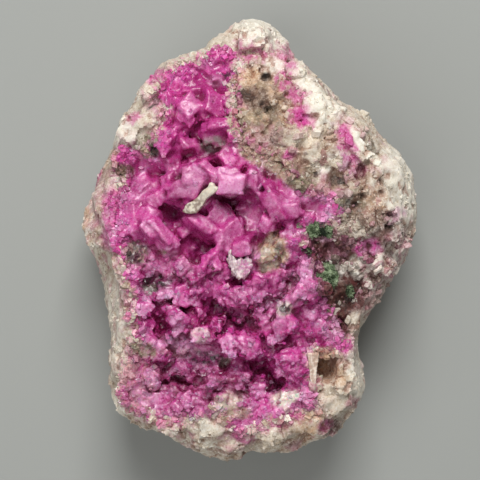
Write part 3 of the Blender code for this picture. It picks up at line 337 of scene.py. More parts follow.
CRUST_PATCHES = (
    Patch(-7.4, 19.8, 6.0, 3.6, 70, Mineral.MAGENTA, 0.45, 0.4),
    Patch(-7.4, -22.4, 9.0, 5.0, 0, Mineral.LILAC, 0.35, 1.0),
    Patch(-6.0, -21.6, 8.0, 3.0, 0, Mineral.WINE, 0.6, 1.0),
    Patch(-10.4, -15.4, 5.4, 1.2, -4, Mineral.FROST, 0.85, 0.5),
    Patch(-9.6, -16.6, 4.6, 0.9, -4, Mineral.ROSE, 0.6, 0.7),
    Patch(-12.4, -3.2, 4.6, 2.6, -10, Mineral.LILAC, 0.6, 0.9),
    Patch(2.0, -10.5, 4.6, 3.0, 0, Mineral.FROST, 0.35, 0.9),
    Patch(-16.4, -21.0, 4.4, 3.0, 80, Mineral.ROSE, 0.8, 0.7),
    Patch(-15.6, -22.4, 3.4, 2.2, 60, Mineral.FROST, 0.5, 0.8),
    Patch(-3.6, 28.6, 2.2, 1.5, 0, Mineral.PINK, 0.9, 0.1),
    Patch(-7.7, 23.9, 2.0, 1.3, 0, Mineral.MAGENTA, 1.0, 0.0),
    Patch(-8.8, 20.6, 1.9, 1.7, 45, Mineral.FROST, 0.2, 0.7),
    Patch(-5.1, 24.2, 1.1, 0.9, 0, Mineral.FROST, 0.6, 0.4),
    Patch(-3.4, 25.0, 1.0, 0.8, 0, Mineral.CHARCOAL, 0.8, 0.9),
    Patch(-5.4, 14.6, 2.1, 1.2, 0, Mineral.SMOKE, 0.85, 0.5),
    Patch(-15.4, 13.6, 1.8, 1.0, 0, Mineral.OLIVE, 0.7, 0.4),
    Patch(-14.2, 13.6, 1.0, 0.6, 90, Mineral.CHARCOAL, 0.9, 0.2),
    Patch(-19.0, 12.6, 1.6, 1.3, 60, Mineral.PINK, 0.9, 0.3),
    Patch(-18.8, 10.6, 1.7, 1.2, 0, Mineral.BROWN, 0.9, 0.4),
    Patch(-2.6, 8.6, 2.3, 1.8, 0, Mineral.FROST, 0.75, 0.2),
    Patch(-8.4, 9.2, 2.4, 2.2, 0, Mineral.FROST, 0.5, 0.6),
    Patch(-17.2, -1.9, 2.2, 1.9, 20, Mineral.OLIVE, 0.8, 0.6),
    Patch(-17.0, -1.6, 2.0, 1.5, 20, Mineral.CHARCOAL, 0.8, 0.9),
    Patch(-13.0, -1.5, 0.7, 0.5, 0, Mineral.OLIVE, 0.8, 0.5),
    Patch(-14.0, -6.2, 2.4, 1.2, 10, Mineral.CHARCOAL, 0.95, 0.35),
    Patch(-14.7, -7.1, 1.0, 0.7, 10, Mineral.SMOKE, 0.9, 0.3),
    Patch(-12.2, -8.4, 2.0, 1.3, 0, Mineral.FROST, 0.6, 0.7),
    Patch(-15.7, -16.2, 1.9, 1.1, -10, Mineral.OLIVE, 0.85, 0.4),
    Patch(-7.2, -14.1, 1.6, 1.2, 0, Mineral.WHITE, 0.6, 0.8),
    Patch(-10.4, -13.2, 1.2, 0.9, 0, Mineral.FROST, 0.7, 0.4),
    Patch(-6.4, -17.4, 3.6, 1.0, -6, Mineral.CHARCOAL, 0.9, 0.6),
    Patch(-3.6, -18.0, 1.1, 0.7, 30, Mineral.SMOKE, 0.85, 0.4),
    Patch(-3.2, -24.0, 2.4, 1.5, 20, Mineral.CREAM, 0.8, 0.5),
    Patch(-1.6, -25.6, 2.0, 1.0, 0, Mineral.TAN, 0.8, 0.4),
    Patch(5.4, -23.4, 2.2, 1.1, 18, Mineral.WHITE, 0.9, 0.3),
    Patch(3.9, -21.8, 1.8, 0.9, 25, Mineral.CHARCOAL, 0.85, 0.4),
    Patch(8.7, -24.0, 2.0, 1.6, 30, Mineral.LILAC, 0.6, 0.8),
    Patch(1.4, 12.9, 3.0, 1.5, -20, Mineral.TAN, 0.95, 0.3),
    Patch(4.9, 10.6, 3.0, 1.5, -42, Mineral.TAN, 0.95, 0.3),
    Patch(7.4, 8.6, 2.0, 1.0, -30, Mineral.OLIVE, 0.9, 0.3),
    Patch(2.9, 10.2, 1.3, 0.7, -30, Mineral.WINE, 0.9, 0.1),
    Patch(8.9, 5.6, 2.6, 1.1, -14, Mineral.MAGENTA, 0.9, 0.1),
    Patch(3.5, -1.6, 3.1, 2.4, 60, Mineral.TAN, 0.95, 0.3),
    Patch(3.5, -1.6, 3.0, 2.3, 60, Mineral.BROWN, 0.85, 0.9),
    Patch(3.6, -1.4, 2.8, 2.2, 60, Mineral.AMBER, 0.5, 1.0),
    Patch(3.4, -1.6, 2.8, 2.2, 60, Mineral.WHITE, 0.3, 1.0),
    Patch(0.6, -1.6, 1.2, 1.2, 0, Mineral.FROST, 0.7, 0.5),
    Patch(10.2, -1.0, 1.9, 1.6, 0, Mineral.MAROON, 0.85, 0.4),
    Patch(8.8, -1.4, 0.9, 0.7, 90, Mineral.CHARCOAL, 0.8, 0.3),
    Patch(11.4, 3.9, 1.4, 1.0, 0, Mineral.FROST, 0.85, 0.4),
    Patch(7.4, -6.4, 4.2, 2.4, 52, Mineral.FROST, 0.6, 0.7),
    Patch(7.0, 5.7, 4.4, 1.5, -10, Mineral.FROST, 0.4, 0.8),
    Patch(10.9, -16.7, 2.0, 0.9, 20, Mineral.RUST, 0.9, 0.2),
    Patch(5.3, -10.0, 1.4, 1.1, 0, Mineral.WHITE, 0.75, 0.3),
    Patch(5.3, -10.0, 0.6, 0.4, 0, Mineral.CHARCOAL, 0.8, 0.3),
    Patch(12.4, -13.0, 2.0, 1.6, 0, Mineral.LILAC, 0.6, 0.6),
)

MAIN_CRYSTALS = (
    Crystal(-8.9, 20.6, 3.2, 3.0, 16, 90, 48),
    Crystal(-7.8, 23.9, 4.4, 2.6, 42, 90, 4),
    Crystal(-5.0, 20.9, 3.4, 3.0, 24, 20, 82),
    Crystal(-11.7, 20.4, 2.7, 2.4, 34, 190, 40),
    Crystal(-4.2, 17.9, 3.8, 1.9, 36, 90, 5),
    Crystal(-9.9, 18.2, 2.8, 2.0, 32, 100, 10),
    Crystal(-5.7, 16.0, 3.0, 2.5, 22, 260, 22),
    Crystal(-13.2, 15.4, 2.9, 2.8, 28, 140, 48),
    Crystal(-9.0, 14.9, 2.6, 1.6, 30, 60, 16),
    Crystal(-11.6, 13.4, 2.6, 2.3, 30, 120, 62),
    Crystal(-12.8, 11.8, 2.3, 2.0, 34, 200, 72),
    Crystal(-2.9, 13.1, 3.3, 2.8, 26, 60, 52),
    Crystal(-5.7, 10.8, 3.7, 1.3, 30, 45, -44),
    Crystal(-8.3, 10.2, 3.6, 2.8, 12, 90, 12),
    Crystal(-16.4, 9.2, 2.8, 2.7, 34, 135, 46),
    Crystal(-12.4, 8.2, 4.0, 1.9, 32, 180, -74),
    Crystal(-9.5, 7.7, 4.0, 2.6, 12, 200, -8),
    Crystal(-2.7, 8.6, 3.9, 3.1, 9, 100, 1),
    Crystal(-17.2, 7.0, 3.6, 2.1, 32, 100, 22),
    Crystal(-18.4, 4.6, 3.0, 2.8, 36, 170, 78),
    Crystal(-18.3, 2.3, 2.9, 2.1, 22, 120, 26),
    Crystal(-16.6, 1.2, 2.3, 2.0, 30, 290, 26),
    Crystal(-14.7, 3.9, 2.8, 2.2, 24, 60, 70),
    Crystal(-12.8, 1.8, 4.9, 2.0, 38, 42, -48),
    Crystal(-6.8, 2.9, 4.2, 2.1, 30, 55, -38),
    Crystal(-4.4, 4.1, 2.7, 2.4, 30, 320, -50),
    Crystal(-9.7, 1.8, 2.0, 1.9, 25, 90, 40),
    Crystal(-7.2, -3.6, 5.4, 1.3, 36, 140, 54),
    Crystal(-5.0, -3.0, 2.8, 1.8, 32, 10, -60),
    Crystal(-1.2, -1.2, 2.7, 2.0, 22, 250, 10),
    Crystal(-2.4, 1.5, 3.4, 2.7, 28, 330, 42),
    Crystal(2.1, 2.4, 2.2, 2.0, 38, 200, 62),
    Crystal(3.5, 5.1, 4.3, 2.3, 26, 200, -62),
    Crystal(6.1, 4.5, 2.5, 2.3, 12, 250, 6),
    Crystal(9.0, 5.0, 3.6, 2.9, 34, 275, -14),
    Crystal(11.6, 4.4, 2.1, 1.9, 24, 100, 30),
    Crystal(0.3, 9.3, 2.6, 1.9, 28, 180, 84),
    Crystal(2.7, 12.0, 3.4, 1.3, 36, 90, -8),
    Crystal(8.7, -3.5, 3.3, 1.9, 16, 160, 80),
    Crystal(7.2, -7.3, 5.4, 2.0, 34, 135, 38),
    Crystal(8.9, -8.6, 3.4, 2.0, 24, 300, 60),
    Crystal(5.1, -12.6, 3.6, 2.6, 18, 180, 20),
    Crystal(3.8, -14.8, 2.5, 1.6, 30, 240, 12),
    Crystal(10.3, -12.8, 3.0, 2.0, 24, 80, 8),
    Crystal(13.2, -15.2, 1.9, 1.7, 16, 20, 20),
    Crystal(3.2, -6.6, 4.8, 3.3, 30, 290, 16),
    Crystal(-1.0, -8.1, 2.9, 2.5, 20, 80, 82),
    Crystal(6.0, -16.9, 2.8, 2.0, 22, 100, 12),
    Crystal(7.6, -19.2, 2.6, 1.4, 28, 20, 84),
    Crystal(5.3, -19.3, 2.4, 1.7, 24, 220, 14),
    Crystal(-3.2, -14.9, 2.8, 2.3, 20, 130, 30),
    Crystal(-0.8, -14.9, 3.0, 1.8, 28, 60, 60),
    Crystal(0.9, -16.4, 2.4, 1.9, 22, 320, 18),
    Crystal(-5.3, -20.9, 2.0, 1.9, 8, 90, 4),
    Crystal(-2.0, -21.5, 3.4, 2.5, 28, 285, 2),
    Crystal(1.3, -22.9, 2.6, 2.2, 26, 300, 8),
    Crystal(-15.7, -14.3, 3.2, 2.0, 26, 100, -20),
    Crystal(-15.5, -12.4, 2.2, 1.4, 30, 100, 15),
    Crystal(-15.6, -9.9, 2.6, 2.2, 22, 60, 40),
    Crystal(-11.0, -13.4, 1.7, 1.6, 12, 90, 50),
    Crystal(-10.0, -11.1, 3.2, 1.4, 30, 40, -45),
    Crystal(-8.9, -8.6, 4.5, 2.9, 32, 280, 4),
    Crystal(-4.0, -8.0, 2.6, 2.1, 24, 200, 50),
    Crystal(-12.6, -6.3, 2.4, 1.9, 18, 80, 28),
    Crystal(-10.2, -3.4, 2.5, 2.2, 22, 120, 40),
    Crystal(-7.4, -13.6, 2.6, 2.0, 20, 110, 14),
    Crystal(-15.0, -20.0, 2.4, 2.0, 24, 140, 30),
    Crystal(-13.6, -24.0, 2.6, 2.0, 22, 250, 20),
    Crystal(-9.2, -23.8, 2.4, 2.1, 24, 60, 50),
    Crystal(-4.4, -23.6, 2.0, 1.8, 20, 100, 10),
    Crystal(-14.6, 5.9, 2.6, 2.2, 30, 230, 30),
    Crystal(-10.4, 25.2, 2.6, 2.2, 28, 130, 30),
    Crystal(-5.6, 26.6, 2.6, 2.3, 26, 100, 60),
)


def smooth_step(share: np.ndarray) -> np.ndarray:
    """Ease a share from 0 to 1."""
    share = np.clip(share, 0.0, 1.0)
    return share * share * (3.0 - 2.0 * share)


def mixed(low: np.ndarray, high: np.ndarray, share: np.ndarray) -> np.ndarray:
    """Mix two colours, or two arrays of colours, by one share a point."""
    return low + (high - low) * share[:, None]


def field(points: np.ndarray, size: float | tuple, seed: float) -> np.ndarray:
    """Soft noise at each point.

    Args:
        points: Places in millimetres, one row each.
        size: The width of the noise's lumps in millimetres, the same every way or one for each axis.
        seed: Moves the pattern.

    Returns:
        One value a point, from about -0.8 to 0.8.
    """
    spots = points / np.array(size) + seed
    return np.array([noise.noise(spot) for spot in spots.tolist()])


def layered(points: np.ndarray, layers: Layers) -> np.ndarray:
    """Layers of soft noise, added up.

    Args:
        points: Places in millimetres, one row each.
        layers: The layers' heights, the widths of their lumps and their seeds.

    Returns:
        One value a point.
    """
    return sum(height * field(points, size, seed) for height, size, seed in layers)


def facets(points: np.ndarray, size: float, seed: float) -> np.ndarray:
    """Offsets like a broken surface: flat faces about as wide as the size, each with a tilt of its own.

    Args:
        points: Places in millimetres, one row each.
        size: The width of a facet in millimetres.
        seed: Moves the pattern.

    Returns:
        One value a point, from about -1 to 1.
    """
    spots = points / size + seed
    homes = np.array([noise.voronoi(spot)[1][0] for spot in spots.tolist()])
    tilt = np.stack([field(homes, FACET_TILTS, seed + step) for step in FACET_STEPS], axis=1)
    return 1.5 * (tilt * (spots - homes)).sum(axis=1) + 1.2 * field(homes, FACET_HEIGHTS, seed)


def mound(spots: np.ndarray, x: float, y: float, wide: float, long: float) -> np.ndarray:
    """A mound of height 1 about a place, seen from above.

    Args:
        spots: Places in layout millimetres, one row each.
        x: The mound's middle along X.
        y: Its middle along Y.
        wide: Its reach along X.
        long: Its reach along Y.

    Returns:
        One height a place.
    """
    return np.exp(-(((spots[:, 0] - x) / wide) ** 2) - ((spots[:, 1] - y) / long) ** 2)


def disc(spots: np.ndarray, x: float, y: float, reach: float, steep: float) -> np.ndarray:
    """A round region with a soft edge, seen from above.

    Args:
        spots: Places in layout millimetres, one row each.
        x: The region's middle along X.
        y: Its middle along Y.
        reach: How far it reaches.
        steep: How steeply its edge rises.

    Returns:
        One share a place, 1 in the middle and 0 out of reach.
    """
    away = np.hypot(spots[:, 0] - x, spots[:, 1] - y) / reach
    return smooth_step(steep - steep * away)


def facing_up(normals: np.ndarray) -> np.ndarray:
    """How far each point faces the sky, from 0 on a wall to 1."""
    return smooth_step(normals[:, 2] / 0.3)


def inside_hollow(spots: np.ndarray) -> np.ndarray:
    """How far each place lies inside the hollow's edge seen from above.

    Args:
        spots: Places in layout millimetres, one row each.

    Returns:
        One distance a place in millimetres, below 0 outside.
    """
    nearest = np.full(len(spots), np.inf)
    inside = np.zeros(len(spots), bool)
    x, y = spots[:, 0], spots[:, 1]
    for (ax, ay), (bx, by) in zip(HOLLOW_EDGE, HOLLOW_EDGE[1:] + HOLLOW_EDGE[:1]):
        dx, dy = bx - ax, by - ay
        share = np.clip(((x - ax) * dx + (y - ay) * dy) / (dx * dx + dy * dy), 0.0, 1.0)
        nearest = np.minimum(nearest, np.hypot(ax + share * dx - x, ay + share * dy - y))
        if dy:
            inside ^= ((ay > y) != (by > y)) & (x < ax + dx * (y - ay) / dy)
    return np.where(inside, nearest, -nearest)


def pink_share(spots: np.ndarray) -> np.ndarray:
    """How pink the stone is by its place: the crust's colour ends in a ragged line near the hollow's edge.

    Args:
        spots: Places in layout millimetres, one row each.

    Returns:
        One share a place.
    """
    ragged = layered(spots, RAGGED_EDGE)
    for x, y, wide, long, far in SPREADS:
        ragged += far * mound(spots, x, y, wide, long)
    return smooth_step((inside_hollow(spots) + ragged - 0.2) / 0.5)


class Surroundings:
    """Solids of the specimen as one surface that rays are cast on."""

    def __init__(self, *nodes: str) -> None:
        """Join CAD solids into one tree of triangles.

        Args:
            nodes: The solids' names, none for a surface that starts empty.
        """
        self.bm = bmesh.new()
        for node in nodes:
            self.bm.from_mesh(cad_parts[node].data)
        self.tree = BVHTree.FromBMesh(self.bm)
        tips = [(0.0, 0.0)]
        for tilt, twist in SKY_RINGS:
            tips += [(tilt, math.radians(bearing) + twist) for bearing in range(0, 360, 60)]
        self.rays = [Vector((r * math.cos(b), r * math.sin(b), math.sqrt(1 - r * r))) for r, b in tips]

    def include(self, mesh: bpy.types.Mesh) -> None:
        """Add a finished mesh to the surface."""
        self.bm.from_mesh(mesh)
        self.tree = BVHTree.FromBMesh(self.bm)

    def free(self) -> None:
        """Give the surface's memory back."""
        self.bm.free()

    def drop(self, x: float, y: float) -> Vector | None:
        """The point of the surface straight under the sky at x, y in layout millimetres, in metres."""
        return self.tree.ray_cast(Vector((x * MM, (y + LAYOUT_Y) * MM, 1.0)), DOWN)[0]

    def openness(self, points: np.ndarray, normals: np.ndarray, reach: float = 4.5) -> np.ndarray:
        """How much of the sky each point sees.

        Args:
            points: Places in metres, one row each.
            normals: The surface's direction at each place.
            reach: How far away a wall still shades, in millimetres.

        Returns:
            One share a point, from 0 in a pit to 1 on a peak.
        """
        starts = points + normals * RAY_GAP * MM
        seen = []
        for start in starts.tolist():
            hits = [self.tree.ray_cast(start, ray, reach * MM)[3] for ray in self.rays]
            seen.append(sum(1.0 if hit is None else hit / (reach * MM) for hit in hits) / len(hits))
        return np.array(seen)


@dataclass(frozen=True)
class StoneMap:
    """Says which mineral shows at each place of the specimen: regions that lie over each other in order."""

    patches: tuple[Patch, ...]
    loosest: float = 1.0

    def plan(self, spots: np.ndarray) -> tuple[np.ndarray, np.ndarray]:
        """Where each place is seen on the level plane at the crown.

        Args:
            spots: Places in layout millimetres, one row each.

        Returns:
            One X and one Y a place.
        """
        spread = (EYE_HEIGHT - PLAN_HEIGHT) / (EYE_HEIGHT - spots[:, 2])
        middle_x, middle_y = PLAN_MIDDLE
        return middle_x + (spots[:, 0] - middle_x) * spread, middle_y + (spots[:, 1] - middle_y) * spread

    def over(self, tints: np.ndarray, spots: np.ndarray, normals: np.ndarray) -> np.ndarray:
        """Lay the regions over a ground.

        Args:
            tints: The ground's colour at each place.
            spots: Places in layout millimetres, one row each.
            normals: The surface's direction at each place.

        Returns:
            The colour at each place.
        """
        plan_x, plan_y = self.plan(spots)
        ragged_x, ragged_y = layered(spots, PATCH_EDGES[0]), layered(spots, PATCH_EDGES[1])
        one, other = layered(spots, PATCH_GRAINS[0]), layered(spots, PATCH_GRAINS[1])
        upper = smooth_step((spots[:, 2] - 8.0) / 4.0) * smooth_step((normals[:, 2] + 0.05) / 0.3)
        for number, patch in enumerate(self.patches):
            grain = one * math.cos(GRAIN_TURN * number) + other * math.sin(GRAIN_TURN * number)
            loose = min(self.loosest, 0.5 * patch.wide)
            turn = math.radians(patch.turn)
            across, up = plan_x + loose * ragged_x - patch.x, plan_y + loose * ragged_y - patch.y
            u = (across * math.cos(turn) + up * math.sin(turn)) / patch.long
            v = (up * math.cos(turn) - across * math.sin(turn)) / patch.wide
            whole = smooth_step((1.3 - np.hypot(u, v)) / 0.6)
            grains = smooth_step(1.6 * whole - 0.8 + 2.2 * grain)
            share = whole * (1.0 - patch.broken) + whole * grains * patch.broken
            tints = mixed(tints, patch.mineral.colour, share * patch.cover * upper)
        return tints


@dataclass(frozen=True)
class Blotches:
    """Blotches of one mineral all over the rock.

    Cover is how fully they colour it, and common is how much of it they take, from about -1 to 1.
    """

    mineral: Mineral
    cover: float
    common: float
    layers: Layers

    def share(self, spots: np.ndarray) -> np.ndarray:
        """How much of the mineral shows at each place."""
        return smooth_step(self.common + layered(spots, self.layers))


BLUSH = Blotches(Mineral.ROSE, 0.75, -0.05, ((1.8, 2.0, 26.0), (0.8, 0.45, 8.5)))
ROCK_BLOTCHES = (
    Blotches(Mineral.TAN, 0.9, 0.5, ((0.9, 3.0, 6.0), (0.9, 0.9, 7.0))),
    Blotches(Mineral.WHITE, 0.8, 0.2, ((1.6, 1.5, 16.0), (0.7, 0.45, 8.5))),
    BLUSH,
    Blotches(Mineral.BROWN, 0.7, -0.35, ((1.9, 1.1, 36.0), (0.8, 0.45, 8.5))),
)
WALL_STREAKS = Blotches(Mineral.TAN, 0.85, 0.5, ((1.5, (0.5, 3.4, 0.7), 14.0), (0.5, 0.45, 8.5)))


def walled(tints: np.ndarray, spots: np.ndarray, normals: np.ndarray) -> np.ndarray:
    """Lay pale and brown streaks over the rock's walls.

    Args:
        tints: The ground's colour at each place.
        spots: Places in layout millimetres.
        normals: The surface's direction at each place.

    Returns:
        One linear colour a place.
    """
    wall = smooth_step((0.65 - np.abs(normals[:, 2])) / 0.3)
    streaks = WALL_STREAKS.cover * WALL_STREAKS.share(spots)
    banded = mixed(Mineral.WHITE.colour, WALL_STREAKS.mineral.colour, streaks)
    banded = mixed(banded, Mineral.ROSE.colour, 0.6 * BLUSH.share(spots))
    return mixed(tints, banded, 0.8 * wall)


def rock_tints(spots: np.ndarray, normals: np.ndarray, sky: np.ndarray) -> np.ndarray:
    """The matrix rock's colour, with its mineral regions and painted shade where it sees little sky.

    Args:
        spots: Places in layout millimetres.
        normals: The surface's direction at each place.
        sky: How much of the sky each place sees.

    Returns:
        One linear colour a place.
    """
    tints = Mineral.CREAM.colour
    for blotches in ROCK_BLOTCHES:
        tints = mixed(tints, blotches.mineral.colour, blotches.cover * blotches.share(spots))
    tints = walled(tints, spots, normals)
    inside = inside_hollow(spots)
    high = smooth_step((spots[:, 2] - 15.0) / 4.0)
    near = smooth_step((inside + 3.2) / 2.6) * smooth_step(0.3 + 2.2 * field(spots, 0.6, 51.0))
    near *= high * smooth_step((29.0 - spots[:, 1]) / 3.0)
    tints = mixed(tints, Mineral.PINK.colour, 0.55 * near)
    tints = StoneMap(ROCK_PATCHES).over(tints, spots, normals)
    veil = smooth_step((inside + 2.4) / 2.4) * smooth_step(0.1 + layered(spots, VEIL_GRAINS))
    veil *= 1.0 - 0.8 * smooth_step((spots[:, 0] - 8.0) / 3.0) * smooth_step((7.0 - spots[:, 1]) / 3.0)
    tints = mixed(tints, Mineral.PINK.colour, 0.6 * veil * high)
    # Painted shade: the rock is painted darker towards rust where it sees little sky, except along the
    # hollow's edge.
    hidden = smooth_step((0.70 - sky) / 0.5) * (1.0 - np.exp(-((inside / 1.3) ** 2)))
    tints = mixed(tints, tints * Mineral.RUST.colour / Mineral.CREAM.colour, 0.75 * hidden)
    brown = disc(spots, *CAVITY_STAIN, steep=2.0) * smooth_step((0.9 - sky) / 0.3)
    return mixed(tints, Mineral.RUST.colour, 0.85 * brown)


def calcite_tints(
    spots: np.ndarray, normals: np.ndarray, sky: np.ndarray, nearby: np.ndarray, tones: np.ndarray
) -> np.ndarray:
    """The pink crystals' colour, with frost and a painted highlight where they face the sky.

    Painted shade turns them wine red to near black in the pits and creases.

    Args:
        spots: Places in layout millimetres.
        normals: The surface's direction at each place.
        sky: How much of the sky each place sees past the walls around it.
        nearby: How much of it the place sees past what stands close by.
        tones: How pale the crystal is at each place, from -1 to 1.

    Returns:
        One linear colour a place.
    """
    warm = smooth_step(0.5 + field(spots, 2.4, 1.0) + 0.45 * tones)
    tints = mixed(Mineral.MAGENTA.colour, Mineral.PINK.colour, warm)
    speckled = 0.3 + 0.7 * smooth_step(0.5 + 1.8 * field(spots, 0.42, 4.0))
    # Frost and a painted highlight: faces that point up and see the open sky are painted frosty pale, less so
    # towards the crust's upper end.
    frost_and_painted_highlight = smooth_step((normals[:, 2] - 0.4) / 0.5) * speckled * smooth_step((sky - 0.6) / 0.3)
    frost_and_painted_highlight *= 1.0 - 0.8 * smooth_step((spots[:, 1] - 10.5) / 4.0)
    frost_and_painted_highlight *= 1.0 - 0.2 * smooth_step(spots[:, 1] / 4.0)
    frost_and_painted_highlight *= 0.4 + 1.2 * smooth_step(0.5 + 1.8 * field(spots, 2.6, 92.0))
    tints = mixed(tints, Mineral.FROST.colour, np.clip((0.5 + 0.45 * tones) * frost_and_painted_highlight, 0, 1))
    # Painted highlight: edges and tips that see all the sky close by are painted a little frostier.
    edges = smooth_step((nearby - 0.97) / 0.03) * smooth_step(0.35 + 1.5 * field(spots, 0.7, 14.0))
    tints = mixed(tints, Mineral.FROST.colour, 0.22 * edges)
    tints = mixed(rock_tints(spots, normals, np.ones(len(spots))), tints, pink_share(spots))
    tints = StoneMap(CRUST_PATCHES).over(tints, spots, normals)
    # Painted shade: places that see little sky are painted wine red, and tight creases darker still, both
    # weaker along the hollow's edge.
    seam = 1.0 - 0.7 * np.exp(-((inside_hollow(spots) / 1.2) ** 2))
    painted_pit_shade = smooth_step((0.86 - sky) / 0.5) * seam
    tints = mixed(tints, tints * Mineral.WINE.colour / Mineral.MAGENTA.colour, 0.7 * painted_pit_shade)
    painted_crease_shade = smooth_step((0.93 - nearby) / 0.45) * seam
    return mixed(tints, tints * CREASE_SHADE, painted_crease_shade)


def to_layout(points: np.ndarray) -> np.ndarray:
    """Places in metres as layout millimetres."""
    return points / MM - np.array((0.0, LAYOUT_Y, 0.0))


def coordinates(mesh: bpy.types.Mesh) -> np.ndarray:
    """The places of a mesh's vertices.

    Args:
        mesh: The mesh.

    Returns:
        One row of X, Y and Z a vertex.
    """
    flat = np.zeros(len(mesh.vertices) * 3)
    mesh.vertices.foreach_get("co", flat)
    return flat.reshape(-1, 3)


def directions(mesh: bpy.types.Mesh) -> np.ndarray:
    """The normals of a mesh's vertices.

    Args:
        mesh: The mesh.

    Returns:
        One row of X, Y and Z a vertex.
    """
    flat = np.zeros(len(mesh.vertices) * 3)
    mesh.vertex_normals.foreach_get("vector", flat)
    return flat.reshape(-1, 3)


def move_to(mesh: bpy.types.Mesh, points: np.ndarray) -> None:
    """Put a mesh's vertices in new places."""
    mesh.vertices.foreach_set("co", points.ravel())
    mesh.update()


def paint(mesh: bpy.types.Mesh, tints: np.ndarray) -> None:
    """Write one colour a vertex.

    Args:
        mesh: The mesh.
        tints: Linear colours, one row each.
    """
    layer = mesh.attributes.new(TINT, "FLOAT_COLOR", "POINT")
    clipped = np.clip(tints, DARKEST, PALEST)
    layer.data.foreach_set("color", np.hstack((clipped, np.ones((len(tints), 1)))).ravel())


def tints_of(mesh: bpy.types.Mesh) -> np.ndarray:
    """The colours written on a mesh.

    Args:
        mesh: A mesh that has been painted.

    Returns:
        One linear colour a vertex.
    """
    flat = np.zeros(len(mesh.vertices) * 4)
    mesh.attributes[TINT].data.foreach_get("color", flat)
    return flat.reshape(-1, 4)[:, :3]


def placed(name: str, data: bpy.types.ID) -> bpy.types.Object:
    """A new object of the scene.

    Args:
        name: Its name.
        data: Its mesh, light or camera.

    Returns:
        The object, at the origin.
    """
    made = bpy.data.objects.new(name, data)
    bpy.context.scene.collection.objects.link(made)
    return made


def mesh_of(bm: bmesh.types.BMesh, name: str) -> bpy.types.Mesh:
    """A bmesh as a mesh.

    Args:
        bm: The bmesh, which is freed.
        name: The mesh's name.

    Returns:
        The new mesh.
    """
    made = bpy.data.meshes.new(name)
    bm.to_mesh(made)
    bm.free()
    return made


def applied(solid: bpy.types.Object) -> bpy.types.Mesh:
    """An object's mesh with its modifiers applied.

    Args:
        solid: The object, which is removed.

    Returns:
        The new mesh.
    """
    graph = bpy.context.evaluated_depsgraph_get()
    made = bpy.data.meshes.new_from_object(solid.evaluated_get(graph))
    bpy.data.objects.remove(solid)
    return made


def soften(bm: bmesh.types.BMesh, verts: Sequence[bmesh.types.BMVert], rounds: int) -> None:
    """Move vertices halfway to the middle of their neighbours, as often as rounds says."""
    for _ in range(rounds):
        bmesh.ops.smooth_vert(bm, verts=verts, factor=0.5, use_axis_x=True, use_axis_y=True, use_axis_z=True)


def netted(bm: bmesh.types.BMesh, cell: float, rounding: int = 0) -> bpy.types.Mesh:
    """The outer surface of some closed shapes as one even net of small faces.

    Args:
        bm: The shapes, which may run into each other. It is freed.
        cell: The width of a face in millimetres.
        rounding: How often the edges are softened.

    Returns:
        A new closed mesh.
    """
    solid = placed("solid", mesh_of(bm, "solid"))
    modifier = solid.modifiers.new("net", "REMESH")
    modifier.mode = "VOXEL"
    modifier.voxel_size = cell * MM
    made = applied(solid)
    bm = bmesh.new()
    bm.from_mesh(made)
    soften(bm, bm.verts, rounding)
    bm.to_mesh(made)
    bm.free()
    return made


def thinned(mesh: bpy.types.Mesh, hidden: np.ndarray, share: float) -> bpy.types.Mesh:
    """A mesh with fewer faces where nobody can see them.

    Args:
        mesh: The mesh, which is used up.
        hidden: Which vertices lie out of sight.
        share: How many of all faces stay at least.

    Returns:
        A new closed mesh.
    """
    solid = placed("solid", mesh)
    group = solid.vertex_groups.new(name="hidden")
    group.add(np.flatnonzero(hidden).tolist(), 1.0, "REPLACE")
    modifier = solid.modifiers.new("thin", "DECIMATE")
    modifier.ratio = share
    modifier.vertex_group = group.name
    modifier.vertex_group_factor = 1000.0
    return applied(solid)


def even_mesh(node: str, cell: float, rounding: int = 0) -> bpy.types.Mesh:
    """A CAD solid's shape as an even net.

    Args:
        node: The solid's name.
        cell: The width of a face in millimetres.
        rounding: How often the edges are softened.

    Returns:
        A new closed mesh.
    """
    bm = bmesh.new()
    bm.from_mesh(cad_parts[node].data)
    bmesh.ops.remove_doubles(bm, verts=bm.verts, dist=SAME_PLACE)
    return netted(bm, cell, rounding)


def smoothed(mesh: bpy.types.Mesh, crease: float) -> bpy.types.Mesh:
    """Shade a mesh smooth.

    Args:
        mesh: The mesh.
        crease: The angle in degrees past which an edge stays sharp.

    Returns:
        The same mesh.
    """
    mesh.shade_smooth()
    mesh.set_sharp_from_angle(angle=math.radians(crease))
    return mesh


def piece_from(mesh: bpy.types.Mesh, name: str, finish: bpy.types.Material) -> bpy.types.Object:
    """Make a mesh a piece of the specimen.

    Args:
        mesh: The finished mesh, with its place in its vertices.
        name: The piece's name.
        finish: Its material.

    Returns:
        The piece, riding on the specimen's body.
    """
    mesh.name = name
    mesh.materials.clear()
    mesh.materials.append(finish)
    piece = placed(name, mesh)
    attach(piece, BODY)
    log.info("%s: %d faces", name, len(mesh.polygons))
    return piece


